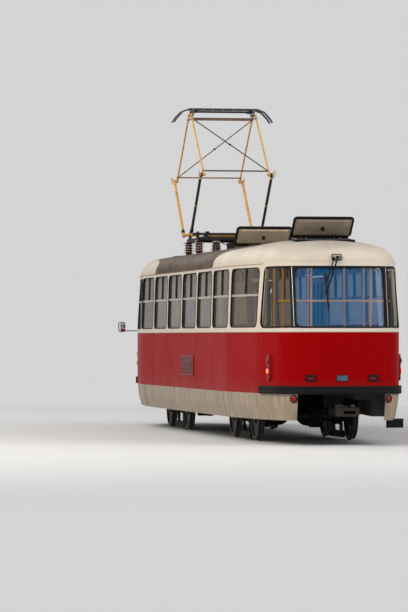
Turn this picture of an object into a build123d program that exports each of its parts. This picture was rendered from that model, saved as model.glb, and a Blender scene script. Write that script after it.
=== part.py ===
from build123d import *
import math
import os

os.makedirs("parts", exist_ok=True)

# Driving dimensions, mm. X forward, Y left, Z up, flange tips on z = 0
FLANGE = 22
BODY_LENGTH = 14000
BODY_WIDTH = 2500
SKIRT_LOW = 350 + FLANGE
RED_LOW = 740 + FLANGE
FLOOR_TOP = 900 + FLANGE
LEAN_FROM = 1642 + FLANGE
GLASS_LOW = 1727 + FLANGE
GLASS_HIGH = 2595 + FLANGE
DRIP = 2664 + FLANGE
ROOF_TOP = 3050 + FLANGE
WALL = 60
SKIRT_WALL = 25
FLOOR = 60
END_CUT = 6000
PILLAR = 160
BAY_STEP = 1483.3
END_BAY = 4450
DOOR_END = 6000
TRANSOM = 2200 + FLANGE
GLASS = 6
GLASS_IN = 22
BAR = 34
POST_Y = 700
NOSE_LEAN = 215

# Bogies
BOGIE_X = 3200
AXLE_X = 950
WHEEL_R = 350
GAUGE_FACE = 717.5
TYRE_WIDTH = 92
AXLE_R = 60
AXLE_Z = WHEEL_R + FLANGE
JOURNAL_CLEAR = 1.0

# Pantograph, measured about its own middle
PANTO_X = 3200
PANTO_BASE_Z = 3360 + FLANGE
BASE_HALF = 400
KNEE_HALF = 1420
TOP_HALF = 120
ARM_Y = 615
LOWER_TUBE_R = 24
UPPER_TUBE_R = 15
PIVOT_R = 15
PIVOT_CLEAR = 0.5

# Doors
DOORS = [(END_BAY, DOOR_END), (0, BAY_STEP), (-DOOR_END, -END_BAY)]
LEAF = 32
LEAF_LOW = 430 + FLANGE
LEAF_HIGH = 2580 + FLANGE
STEP_Z = 400 + FLANGE
STEP2_Z = 650 + FLANGE

# Hatches: x of the hinge, and how far the roof slopes there
HATCHES = [("rear", -5370, 4.4), ("middle", -545, 0.0)]
HATCH_LONG = 420
HATCH_HALF = 460
HATCH_OPEN = 42

made = {}


def keep(name, shape):
    """Name a finished piece and write it out."""
    solids = [s for s in shape.solids() if s.volume > 50]
    piece = Compound(children=solids) if len(solids) > 1 else solids[0]
    piece.label = name
    made[name] = piece
    export_step(piece, f"parts/{name}.step")
    print(name, len(solids), round(sum(s.volume for s in solids) / 1e6, 2))


def box(x0, x1, y0, y1, z0, z1):
    """Box between two corners."""
    middle = ((x0 + x1) / 2, (y0 + y1) / 2, (z0 + z1) / 2)
    return Pos(*middle) * Box(abs(x1 - x0), abs(y1 - y0), abs(z1 - z0))


def rod(start, end, radius):
    """Round bar from one point to another."""
    start = Vector(*start)
    end = Vector(*end)
    plane = Plane(origin=start, z_dir=end - start)
    return plane * Cylinder(radius, (end - start).length, align=(Align.CENTER, Align.CENTER, Align.MIN))


def across(x, z, y0, y1, radius):
    """Round bar along Y."""
    return rod((x, y0, z), (x, y1, z), radius)


# Plan of the body: direction of each face's normal, distance from the middle, lean at the drip rail
PLAN = [
    (0.0, BODY_LENGTH / 2, NOSE_LEAN),
    (6.3, BODY_LENGTH / 2 - 9.1, NOSE_LEAN - 5),
    (75.96, 2500.9, 75.0),
    (83.93, 1704.6, 38.0),
    (90.0, BODY_WIDTH / 2, 30.0),
]
PLAN_ROUND = [1400.0, 400.0, 2400.0, 3000.0]


def plan_corners(inset, lean):
    """Corners of one quarter of the body's plan, moved in by an inset and a share of the lean."""
    corners = []
    for (turn, out, tip), (turn2, out2, tip2) in zip(PLAN, PLAN[1:]):
        a1 = math.radians(turn)
        a2 = math.radians(turn2)
        d1 = out - inset - tip * lean
        d2 = out2 - inset - tip2 * lean
        det = math.cos(a1) * math.sin(a2) - math.sin(a1) * math.cos(a2)
        x = (d1 * math.sin(a2) - d2 * math.sin(a1)) / det
        y = (d2 * math.cos(a1) - d1 * math.cos(a2)) / det
        corners.append((x, y))
    return corners


def plan_face(inset, z, lean=0.0):
    """The body's plan as a face at a height."""
    quarter = plan_corners(inset, lean)
    rounds = [r - inset for r in PLAN_ROUND]
    points = list(quarter)
    points += [(-x, y) for x, y in reversed(quarter)]
    points += [(-x, -y) for x, y in quarter]
    points += [(x, -y) for x, y in reversed(quarter)]
    radii = rounds + rounds[::-1] + rounds + rounds[::-1]
    line = FilletPolyline(*points, radius=radii, close=True)
    return Pos(0, 0, z) * make_face(line)


def lean_at(z):
    """Share of the full lean at a height."""
    return max(0.0, (z - LEAN_FROM) / (DRIP - LEAN_FROM))


def plan_slab(inset, z0, z1):
    """Upright or leaning solid of the plan between two heights."""
    bottom = plan_face(inset, z0, lean_at(z0))
    if z1 <= LEAN_FROM:
        return extrude(bottom, z1 - z0)
    return loft([bottom, plan_face(inset, z1, lean_at(z1))], ruled=True)


def plan_body(inset, z0, z1):
    """Plan solid over both the upright and the leaning part."""
    if z0 < LEAN_FROM < z1:
        return plan_slab(inset, z0, LEAN_FROM) + plan_slab(inset, LEAN_FROM, z1)
    return plan_slab(inset, z0, z1)


def side_window(x0, x1, z0, z1, radius, side):
    """Cutter through one side wall, with rounded corners."""
    plane = Plane.XZ.offset(-side * 1100 if side > 0 else 1100)
    middle = ((x0 + x1) / 2, (z0 + z1) / 2)
    shape = Pos(*middle) * RectangleRounded(x1 - x0, z1 - z0, radius)
    cutter = extrude(plane * shape, 400, both=True)
    return cutter & box(x0 - 9, x1 + 9, side * 600, side * 1500, z0 - 9, z1 + 9)


# Window bays on each side: x of both edges, then what stands there
EDGES = [-DOOR_END, -END_BAY] + [round(BAY_STEP * i, 1) for i in (-2, -1, 0, 1, 2)] + [END_BAY, DOOR_END]
BAYS_LEFT = [(a + PILLAR / 2, b - PILLAR / 2) for a, b in zip(EDGES, EDGES[1:])]
DOOR_BAYS = [(a + PILLAR / 2, b - PILLAR / 2) for a, b in DOORS]
BAYS_RIGHT = [bay for bay in BAYS_LEFT if not any(abs(bay[0] - d[0]) < 30 for d in DOOR_BAYS)]
WINDOW_ROUND = 90
SIDE_HIGH = 2600 + FLANGE

windows = []
for x0, x1 in BAYS_LEFT:
    windows.append(side_window(x0, x1, GLASS_LOW, SIDE_HIGH, WINDOW_ROUND, 1))
for x0, x1 in BAYS_RIGHT:
    windows.append(side_window(x0, x1, GLASS_LOW, SIDE_HIGH, WINDOW_ROUND, -1))
doorways = []
for x0, x1 in DOOR_BAYS:
    doorways.append(box(x0, x1, -1500, -900, SKIRT_LOW - 50, SIDE_HIGH))

# End windows wrap round the corners between two posts
END_GLASS_X = 6090
POST = 62


def end_windows(side, radius):
    """Three cutters of one end: the middle and both corners."""
    flat = Pos(0, (GLASS_LOW + GLASS_HIGH) / 2) * RectangleRounded(
        2 * POST_Y - POST, GLASS_HIGH - GLASS_LOW, radius
    )
    plane = Plane(origin=(side * 6300, 0, 0), x_dir=(0, side, 0), z_dir=(side, 0, 0))
    middle = extrude(plane * flat, 900)
    cutters = [middle]
    for hand in (1, -1):
        x_a = side * END_GLASS_X
        x_b = side * 7600
        shape = Pos((x_a + x_b) / 2, (GLASS_LOW + GLASS_HIGH) / 2) * RectangleRounded(
            abs(x_b - x_a), GLASS_HIGH - GLASS_LOW, WINDOW_ROUND
        )
        block = extrude(Plane.XZ * shape, 1500, both=True)
        y0 = hand * (POST_Y + POST / 2)
        cutters.append(block & box(x_a, side * 7500, y0, hand * 1500, GLASS_LOW - 9, GLASS_HIGH + 9))
    return cutters


front_windows = end_windows(1, 150)
rear_windows = end_windows(-1, 80)

outer = plan_body(0, RED_LOW, DRIP)
inner = plan_body(WALL, RED_LOW - 10, DRIP + 30)
ring = outer - inner
cut_all = windows + front_windows + rear_windows + doorways
ring = ring - cut_all
SEAM = 0.2
seams = [box(-END_CUT, END_CUT, -1500, 1500, z - SEAM / 2, z + SEAM / 2) for z in (GLASS_LOW, SIDE_HIGH)]
left = (ring & box(-END_CUT, END_CUT, 0, 1600, 0, 4000)) - seams
right = (ring & box(-END_CUT, END_CUT, 0, -1600, 0, 4000)) - seams
front = ring & box(END_CUT, 8000, -1600, 1600, 0, 4000)
rear = ring & box(-END_CUT, -8000, -1600, 1600, 0, 4000)
keep("side_wall_left", left)
keep("side_wall_right", right)
keep("end_wall_front", front)
keep("end_wall_rear", rear)

# Roof: crowned across, rounded down over both ends
CROWN_R = 4000
DOME_FROM = 5150
DOME_R = 5600
SHOULDER = 250
ROOF_WALL = 60
GUTTER = 14
GUTTER_END = 6020


def crown(drop):
    """Everything below the roof's crown, less a wall."""
    radius = CROWN_R - drop
    top = ROOF_TOP - drop
    half = 1500
    low = 1500
    sag = radius - math.sqrt(radius ** 2 - half ** 2)
    arc = ThreePointArc((-half, top - sag), (0, top), (half, top - sag))
    base = Polyline((half, top - sag), (half, low), (-half, low), (-half, top - sag))
    profile = make_face([arc, base])
    plane = Plane(origin=(-DOME_FROM, 0, 0), x_dir=(0, 1, 0), z_dir=(1, 0, 0))
    body = extrude(plane * profile, 2 * DOME_FROM)
    for side in (1, -1):
        face = Plane(origin=(side * DOME_FROM, 0, 0), x_dir=(0, 1, 0), z_dir=(1, 0, 0)) * profile
        axis = Axis((side * DOME_FROM, 0, ROOF_TOP - DOME_R), (0, side, 0))
        body += revolve(face, axis, 24)
    return body


# Shoulder of the roof: rise over the drip rail, inset all round, extra lean of the ends
SHOULDER = [(0, 0, 1.0), (75, 11, 1.06), (145, 42, 1.24), (205, 93, 1.52), (248, 155, 1.84), (275, 215, 2.15)]


def roof_solid(inset, drop, z0):
    """Crowned solid over the plan, with a rounded shoulder."""
    faces = [plan_face(inset + side, z0 + rise, lean) for rise, side, lean in SHOULDER]
    body = extrude(faces[-1], 150)
    for low, high in zip(faces, faces[1:]):
        body += loft([low, high], ruled=True)
    return body & crown(drop)


roof_out = roof_solid(0, 0, DRIP)
hatch_cuts = []
hatch_rims = []
HATCH_SEAT = ROOF_TOP + 14
HINGE_UP = 34
LID = 42
RIM = 25


def hatch_axis(hinge):
    """Line that a hatch turns about."""
    return Axis((hinge + 4, 0, HATCH_SEAT + HINGE_UP), (0, 1, 0))


for label, hinge, tilt in HATCHES:
    x0 = hinge - HATCH_LONG
    wide = HATCH_HALF
    rim = box(x0 + 12, hinge - 12, -wide + 12, wide - 12, ROOF_TOP - 120, HATCH_SEAT)
    hole = box(x0 + 12 + RIM, hinge - 12 - RIM, -wide + 12 + RIM, wide - 12 - RIM, 2700, 3300)
    hatch_cuts.append(hole.rotate(hatch_axis(hinge), -tilt))
    hatch_rims.append((rim - hole).rotate(hatch_axis(hinge), -tilt))
roof_in = roof_solid(ROOF_WALL, ROOF_WALL, DRIP - 1)
roof = roof_out - roof_in - hatch_cuts
roof += [rim - roof_in for rim in hatch_rims]
gutter = extrude(plan_face(-GUTTER, DRIP, 1.0), GUTTER) - extrude(plan_face(4, DRIP - 5, 1.0), 30)
roof += gutter & box(-GUTTER_END, GUTTER_END, -1500, 1500, DRIP - 5, DRIP + 50)
HINGE_R = 6
HINGE_CLEAR = 0.5
HINGE_EYE = 13
for label, hinge, tilt in HATCHES:
    for y in (-0.55 * HATCH_HALF, 0.55 * HATCH_HALF):
        z = HATCH_SEAT + HINGE_UP
        roof += across(hinge + 4, z, y - 45, y + 45, HINGE_R)
        for off in (-38, 38):
            roof += box(hinge - 6, hinge + 14, y + off - 7, y + off + 7, HATCH_SEAT - 60, z + 8)
keep("roof_shell", roof)

for label, hinge, tilt in HATCHES:
    z = HATCH_SEAT + 0.3
    lid = box(hinge - HATCH_LONG, hinge - 14, -HATCH_HALF, HATCH_HALF, z, z + LID)
    lid = fillet([e for e in lid.edges() if abs(e.tangent_at(0.5).Z) > 0.9], 55)
    lid = fillet(lid.faces().sort_by(Axis.Z)[-1].edges(), 14)
    lid += box(hinge - HATCH_LONG + 60, hinge - 80, -HATCH_HALF + 70, HATCH_HALF - 70, z - 12, z + 1)
    knob = Pos(hinge - HATCH_LONG / 2, 0, z - 30) * Cylinder(16, 40)
    lid += knob
    axis_z = HATCH_SEAT + HINGE_UP
    for y in (-0.55 * HATCH_HALF, 0.55 * HATCH_HALF):
        eye = across(hinge + 4, axis_z, y - 28, y + 28, HINGE_EYE)
        eye += box(hinge - 40, hinge + 4, y - 28, y + 28, z + LID - 22, z + LID - 2)
        lid += eye
        lid -= across(hinge + 4, axis_z, y - 60, y + 60, HINGE_R + HINGE_CLEAR)
    keep(f"hatch_lid_{label}", lid.rotate(hatch_axis(hinge), HATCH_OPEN))

# Glass follows the wall, set in from its outer face
glass_skin = plan_body(GLASS_IN, GLASS_LOW - 60, DRIP) - plan_body(GLASS_IN + GLASS, GLASS_LOW - 70, DRIP)
bar_skin = plan_body(6, GLASS_LOW - 60, DRIP) - plan_body(48, GLASS_LOW - 70, DRIP)
bars = []
panes = []
for side, bays in ((1, BAYS_LEFT), (-1, BAYS_RIGHT)):
    for x0, x1 in bays:
        hole = side_window(x0, x1, GLASS_LOW, SIDE_HIGH, WINDOW_ROUND, side)
        middle = (x0 + x1) / 2
        cross = box(x0, x1, side * 1000, side * 1300, TRANSOM - BAR / 2, TRANSOM + BAR / 2)
        cross += box(middle - BAR / 2, middle + BAR / 2, side * 1000, side * 1300, TRANSOM, SIDE_HIGH)
        bars.append(bar_skin & hole & cross)
        panes.append((glass_skin & hole) - cross)
keep("window_bars", Compound(children=[s for b in bars for s in b.solids()]))
keep("side_glazing", Compound(children=[s for p in panes for s in p.solids()]))
for name, cutters in (("windscreen", front_windows), ("rear_window", rear_windows)):
    found = [glass_skin & c for c in cutters]
    keep(name, Compound(children=[s for p in found for s in p.solids()]))

# Skirts tuck in below the body side
TUCK = [(RED_LOW, 0), (550 + FLANGE, 20), (SKIRT_LOW, 70)]
SKIRT_GAP = 655


def skirt_solid(inset):
    """Solid below the body side, tucked in downwards."""
    faces = [plan_face(inset + tuck, z) for z, tuck in TUCK]
    body = loft([faces[0], faces[1]], ruled=True)
    return body + loft([faces[1], faces[2]], ruled=True)


skirt = skirt_solid(0) - skirt_solid(SKIRT_WALL)
for side in (1, -1):
    skirt -= box(side * 6250, side * 7500, -SKIRT_GAP, SKIRT_GAP, 0, 2000)
skirt -= doorways
keep("skirts", skirt)

# Door frames of reference: a plane along each doorway, u along it, v inwards
LEAF_IN = 51
POST_GAP = 10
POST_AXIS = 34
KNUCKLE_U = 332
LEAF_END = 655
LEAF_GAP = 2
MEETING_GAP = 13.3
PANE_LOW = 1180
PANE_HIGH = 2490
PANE_EDGE = 48
HINGE_LONG = 70
HINGE_ROWS = [560, 1420, 2380]


def body_half(x):
    """Half width of the body at a place along it."""
    a2 = math.radians(PLAN[3][0])
    taper_x = (PLAN[3][1] - BODY_WIDTH / 2 * math.sin(a2)) / math.cos(a2)
    if abs(x) < taper_x:
        return BODY_WIDTH / 2
    return (PLAN[3][1] - abs(x) * math.cos(a2)) / math.sin(a2)


def door_plane(x0, x1):
    """Plane at the doorway's rear post: X along the car, Y inwards."""
    y0 = -(body_half(x0) - LEAF_IN)
    y1 = -(body_half(x1) - LEAF_IN)
    return Plane(origin=(x0, y0, 0), x_dir=(x1 - x0, y1 - y0, 0), z_dir=(0, 0, 1)), math.hypot(x1 - x0, y1 - y0)


RISER_V = 345
RISER2_V = 600
SHEET = 15
CHEEK_V = 47
TREAD_IN = 6
WHEEL_NOTCH = 112
wells = []
floor_cuts = []
PLATE_Y = 400
plate_cuts = [box(-7000, 7000, -PLATE_Y - SEAM, -PLATE_Y, 0, 2000)]
for number, (x0, x1) in enumerate(DOOR_BAYS, 1):
    plane, long = door_plane(x0, x1)
    near = 0
    far = long
    if number == 1:
        near = WHEEL_NOTCH
    if number == 3:
        far = long - WHEEL_NOTCH
    low = STEP_Z - SHEET
    tread = box(TREAD_IN, long - TREAD_IN, -9, RISER_V, low, STEP_Z)
    sheets = [tread + box(-SHEET, long + SHEET, CHEEK_V, RISER_V, low, STEP_Z)]
    sheets.append(box(-SHEET, long + SHEET, RISER_V + SEAM, RISER_V + SHEET, low, STEP2_Z))
    sheets.append(box(near - SHEET, far + SHEET, RISER_V + SHEET + SEAM, RISER2_V, STEP2_Z - SHEET, STEP2_Z))
    sheets.append(box(near - SHEET, far + SHEET, RISER2_V + SEAM, RISER2_V + SHEET, STEP2_Z - SHEET, FLOOR_TOP))
    for u0, u1 in ((-SHEET, near), (far, long + SHEET)):
        sheets.append(box(u0, u1, RISER_V + SEAM, RISER_V + SHEET, STEP2_Z + SEAM, FLOOR_TOP))
    for u0 in (-SHEET, long):
        sheets.append(box(u0, u0 + SHEET, CHEEK_V, RISER_V, STEP_Z + SEAM, FLOOR_TOP))
    for u0 in (near - SHEET, far):
        sheets.append(box(u0, u0 + SHEET, RISER_V + SHEET + SEAM, RISER2_V, STEP2_Z + SEAM, FLOOR_TOP))
    wells += [plane * sheet for sheet in sheets]
    hole = box(-SHEET, long + SHEET, -200, RISER_V + SHEET, 0, 2000)
    hole += box(near - SHEET, far + SHEET, RISER_V, RISER2_V + SHEET, 0, 2000)
    floor_cuts.append(plane * hole)
    joint = box(-SHEET - SEAM, -SHEET, 0, 1000, 0, 2000) + box(long + SHEET, long + SHEET + SEAM, 0, 1000, 0, 2000)
    joint += box(-SHEET, long + SHEET, RISER2_V + SHEET, RISER2_V + SHEET + SEAM, 0, 2000)
    plate_cuts.append((plane * joint) & box(-7000, 7000, -1500, -PLATE_Y, 0, 2000))
    leaf_end = long / 2 - MEETING_GAP / 2
    fold_u = KNUCKLE_U + (leaf_end - LEAF_END) / 2
    for pair, flip in (("a", 1), ("b", -1)):
        base = 0 if flip == 1 else long
        sets = [("outer", POST_GAP, fold_u - LEAF_GAP / 2), ("inner", fold_u + LEAF_GAP / 2, leaf_end)]
        for kind, u0, u1 in sets:
            a = base + flip * u0
            b = base + flip * u1
            leaf = box(a, b, -LEAF / 2, LEAF / 2, LEAF_LOW, LEAF_HIGH)
            pane = extrude(Plane.XZ * Pos((a + b) / 2, (PANE_LOW + PANE_HIGH) / 2) * RectangleRounded(
                abs(b - a) - 2 * PANE_EDGE, PANE_HIGH - PANE_LOW, 45), 60, both=True)
            leaf -= pane
            knuckle_u = base + flip * fold_u
            for z in HINGE_ROWS:
                own = z if kind == "outer" else z + HINGE_LONG
                other = z + HINGE_LONG if kind == "outer" else z
                leaf -= rod((knuckle_u, -LEAF / 2, other - 1), (knuckle_u, -LEAF / 2, other + HINGE_LONG + 1), 9)
                leaf += rod((knuckle_u, -LEAF / 2, own + 0.2), (knuckle_u, -LEAF / 2, own + HINGE_LONG - 0.2), 7)
            if kind == "outer":
                post_u = base + flip * POST_AXIS
                leaf += rod((post_u, 0, STEP_Z + 0.3), (post_u, 0, SIDE_HIGH - 0.3), 13)
            keep(f"door_{number}{pair}_{kind}", plane * leaf)
keep("step_wells", Compound(children=[s for w in wells for s in w.solids()]))

# Floor and frame under it
FRAME_TOP = FLOOR_TOP - FLOOR - SEAM
floor = plan_slab(WALL, FLOOR_TOP - FLOOR, FLOOR_TOP) - floor_cuts - plate_cuts
BOLSTER_LOW = 745 + FLANGE
PIVOT_R_BODY = 90
frame = Part()
for side in (1, -1):
    sill = box(-6100, 6100, side * 1030, side * 1110, RED_LOW + 1, FRAME_TOP) & plan_slab(
        WALL + 5, RED_LOW, FLOOR_TOP)
    frame += sill - floor_cuts
    frame += box(-6600, 6600, side * 330, side * 400, BOLSTER_LOW, FRAME_TOP)
    frame += box(side * 3050, side * 3350, -1000, 1000, BOLSTER_LOW, FRAME_TOP)
    pivot = Pos(side * BOGIE_X, 0, 0) * Cylinder(PIVOT_R_BODY, 180, align=(Align.CENTER, Align.CENTER, Align.MIN))
    frame += Pos(0, 0, BOLSTER_LOW - 150) * pivot
for x in (-6400, -5600, -4950, -2050, -1000, 1500, 2050, 4950, 5600, 6400):
    beam = box(x - 40, x + 40, -1030, 1030, BOLSTER_LOW, FRAME_TOP) & plan_slab(WALL + 5, RED_LOW, FLOOR_TOP)
    frame += beam
frame -= floor_cuts
COUPLER_X = 6250
COUPLER_Z = 480 + FLANGE
COUPLER_PIN = 20
for side in (1, -1):
    hanger = box(side * 6150, side * 6350, -110, 110, COUPLER_Z + 66, BOLSTER_LOW)
    hanger += box(side * 6150, side * 6170, -110, 110, COUPLER_Z - 66, COUPLER_Z + 66)
    hanger += box(side * 6150, side * 6350, -110, 110, COUPLER_Z - 90, COUPLER_Z - 66)
    hanger += Pos(side * 6290, 0, COUPLER_Z) * Cylinder(COUPLER_PIN, 150)
    frame += hanger + box(side * 6130, side * 6370, -400, 400, BOLSTER_LOW, FRAME_TOP)
frame -= plate_cuts
keep("underframe", Compound(children=list(floor.solids()) + list(frame.solids())))

# Couplers swing sideways on an upright pin
for side, name in ((1, "coupler_front"), (-1, "coupler_rear")):
    eye = Pos(side * 6290, 0, COUPLER_Z) * Cylinder(60, 120)
    shank = box(side * 6300, side * 7180, -38, 38, COUPLER_Z - 34, COUPLER_Z + 34)
    head = box(side * 7160, side * 7520, -150, 150, COUPLER_Z - 60, COUPLER_Z + 60)
    head = fillet([e for e in head.edges() if abs(e.tangent_at(0.5).Z) > 0.9], 55)
    slot = box(side * 7330, side * 7600, -90, 90, COUPLER_Z - 22, COUPLER_Z + 22)
    body = eye + shank + head - slot
    body -= Pos(side * 6290, 0, COUPLER_Z) * Cylinder(COUPLER_PIN + 1, 400)
    body -= Pos(side * 7440, 0, COUPLER_Z) * Cylinder(18, 400)
    keep(name, body)

# Bumper strips wrap the corners
BUMPER_OUT = 37
BUMPER_LOW = 737 + FLANGE
BUMPER_HIGH = 853 + FLANGE
strip = plan_slab(-BUMPER_OUT, BUMPER_LOW, BUMPER_HIGH) - plan_slab(0, BUMPER_LOW - 5, BUMPER_HIGH + 5)
strip -= box(-6110, 6110, -2000, 2000, 0, 4000)
keep("bumpers", strip)

# Bogies: two beams join the axle boxes, a transom ties them, ring springs carry the bolster
BEAM_Y0 = 450
BEAM_Y1 = 560
AXLE_BOX_R = 120
CAP_R = 92
CAP_OUT = 20
TRANSOM_X = 170
TRANSOM_LOW = AXLE_Z + 40
TRANSOM_TOP = AXLE_Z + 130
SPRING_R = 95
SPRING_Y = 420
SPRING_RINGS = 4
BOLSTER_X = 130
BOLSTER_Z = AXLE_Z + 255
BOLSTER_TOP = AXLE_Z + 330
CENTRE_PLATE_R = 150
PLATE_GAP = 5.5
MOTOR_Y = 175
MOTOR_R = 165
MOTOR_Z = AXLE_Z + 10
MOTOR_RIBS = (250, 400, 470, 540, 610)
GEAR_R = 170
SHOE_X = 440
SHOE_WIDE = 66
SHOE_LOW = FLANGE + 10
SHOE_TOP = FLANGE + 110
HANGER_X = 280


def ring_spring(x, y, z0, z1):
    """Rubber ring spring: plates stand out from a slimmer core."""
    align = (Align.CENTER, Align.CENTER, Align.MIN)
    pitch = (z1 - z0) / SPRING_RINGS
    body = Pos(x, y, z0) * Cylinder(SPRING_R - 18, z1 - z0, align=align)
    for i in range(SPRING_RINGS):
        body += Pos(x, y, z0 + (i + 0.25) * pitch) * Cylinder(SPRING_R, pitch / 2, align=align)
    return body


for side, name in ((1, "front"), (-1, "rear")):
    cx = side * BOGIE_X
    frame = Part()
    for hand in (1, -1):
        y0 = hand * BEAM_Y0
        y1 = hand * BEAM_Y1
        beam = [(-AXLE_X, -45), (AXLE_X, -45), (AXLE_X, 40), (AXLE_X - 330, 75), (330 - AXLE_X, 75), (-AXLE_X, 40)]
        face = make_face(Polyline(*[(cx + x, AXLE_Z + z) for x, z in beam], close=True))
        frame += Pos(0, hand * (BEAM_Y0 + BEAM_Y1) / 2, 0) * extrude(Plane.XZ * face, (BEAM_Y1 - BEAM_Y0) / 2, both=True)
        for end in (1, -1):
            frame += across(cx + end * AXLE_X, AXLE_Z, y0, y1, AXLE_BOX_R)
            frame += across(cx + end * AXLE_X, AXLE_Z, y0, y1 + hand * CAP_OUT, CAP_R)
    frame += box(cx - TRANSOM_X, cx + TRANSOM_X, -BEAM_Y1, BEAM_Y1, TRANSOM_LOW, TRANSOM_TOP)
    for hand in (1, -1):
        frame += ring_spring(cx, hand * SPRING_Y, TRANSOM_TOP, BOLSTER_Z)
    frame += box(cx - BOLSTER_X, cx + BOLSTER_X, -BEAM_Y1, BEAM_Y1, BOLSTER_Z, BOLSTER_TOP)
    plate = Cylinder(CENTRE_PLATE_R, BOLSTER_LOW - PLATE_GAP - BOLSTER_Z, align=(Align.CENTER, Align.CENTER, Align.MIN))
    frame += Pos(cx, 0, BOLSTER_Z) * plate
    frame -= Pos(cx, 0, BOLSTER_Z - 25) * Cylinder(PIVOT_R_BODY + JOURNAL_CLEAR, 2 * 200)
    for end in (1, -1):
        frame -= across(cx + end * AXLE_X, AXLE_Z, -900, 900, AXLE_R + JOURNAL_CLEAR)
    keep(f"bogie_frame_{name}", frame)
    motors = Part()
    for end in (1, -1):
        my = end * MOTOR_Y
        motors += rod((cx + end * 190, my, MOTOR_Z), (cx + end * 680, my, MOTOR_Z), MOTOR_R)
        for x in MOTOR_RIBS:
            motors += rod((cx + end * x, my, MOTOR_Z), (cx + end * (x + 14), my, MOTOR_Z), MOTOR_R + 6)
        motors += rod((cx + end * 679, my, MOTOR_Z), (cx + end * 790, my, MOTOR_Z), 95)
        gear = across(cx + end * AXLE_X, AXLE_Z, my - 90, my + 90, GEAR_R)
        motors += gear - across(cx + end * AXLE_X, AXLE_Z, -900, 900, AXLE_R + 6)
        motors += box(cx + end * 260, cx + end * 380, -BEAM_Y0, BEAM_Y0, AXLE_Z - 30, AXLE_Z + 20)
    keep(f"traction_motors_{name}", motors)
    brakes = Part()
    for hand in (1, -1):
        y = hand * GAUGE_FACE
        brakes += box(cx - SHOE_X, cx + SHOE_X, y - SHOE_WIDE / 2, y + SHOE_WIDE / 2, SHOE_LOW, SHOE_TOP)
        for x in (cx - HANGER_X, cx + HANGER_X):
            brakes += box(x - 30, x + 30, hand * BEAM_Y1, y + hand * SHOE_WIDE / 2, FLANGE + 250, FLANGE + 330)
            brakes += box(x - 18, x + 18, y - 18, y + 18, SHOE_TOP, FLANGE + 250)
    keep(f"track_brakes_{name}", brakes)
    for end, place in ((1, "leading"), (-1, "trailing")):
        ax = cx + end * AXLE_X
        inner_y = GAUGE_FACE - 30
        outer_y = inner_y + TYRE_WIDTH
        points = [
            (0, -outer_y - 12), (0, outer_y + 12), (95, outer_y + 12), (105, outer_y - 25), (285, outer_y - 30),
            (295, outer_y), (WHEEL_R - 5, outer_y), (WHEEL_R, outer_y - 8), (WHEEL_R + 4, inner_y + 38),
            (WHEEL_R + 20, inner_y + 24), (WHEEL_R + FLANGE, inner_y + 16), (WHEEL_R + FLANGE, inner_y + 8),
            (WHEEL_R + 8, inner_y), (295, inner_y), (285, inner_y + 30), (105, inner_y + 22), (95, inner_y - 20),
            (AXLE_R, inner_y - 20),
        ]
        profile = points + [(r, -y) for r, y in reversed(points[2:])]
        face = make_face(Polyline(*[(r, y) for r, y in profile], close=True))
        wheelset = revolve(face, Axis.Y)
        keep(f"wheelset_{name}_{place}", Pos(ax, 0, AXLE_Z) * wheelset)

# Pantograph
LOWER = 1420.0
UPPER = LOWER + BASE_HALF - TOP_HALF
THETA = math.acos((KNEE_HALF - BASE_HALF) / LOWER)
PHI = math.acos((KNEE_HALF - TOP_HALF) / UPPER)
KNEE_UP = PANTO_BASE_Z + LOWER * math.sin(THETA)
TOP_UP = KNEE_UP + UPPER * math.sin(PHI)
UPPER_Y = ARM_Y - 48
HEAD_Y = UPPER_Y - 34
SHAFT_R = 24
base = Part()
for hand in (1, -1):
    y = hand * 500
    base += box(PANTO_X - 620, PANTO_X + 620, y - 25, y + 25, PANTO_BASE_Z - 130, PANTO_BASE_Z - 70)
    for x in (-540, 540):
        foot = Pos(PANTO_X + x, y, 2960) * Cylinder(48, PANTO_BASE_Z - 130 - 2960, align=(
            Align.CENTER, Align.CENTER, Align.MIN))
        base += foot - roof_out
    for end in (1, -1):
        x = PANTO_X + end * BASE_HALF
        base += box(x - 45, x + 45, y - 20, y + 20, PANTO_BASE_Z - 71, PANTO_BASE_Z)
        base += across(x, PANTO_BASE_Z, y - 20, y + 20, 45)
for x in (-600, 600):
    base += box(PANTO_X + x - 20, PANTO_X + x + 20, -500, 500, PANTO_BASE_Z - 120, PANTO_BASE_Z - 80)
for end in (1, -1):
    base -= across(PANTO_X + end * BASE_HALF, PANTO_BASE_Z, -900, 900, SHAFT_R + PIVOT_CLEAR)
keep("pantograph_base", base)
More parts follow.
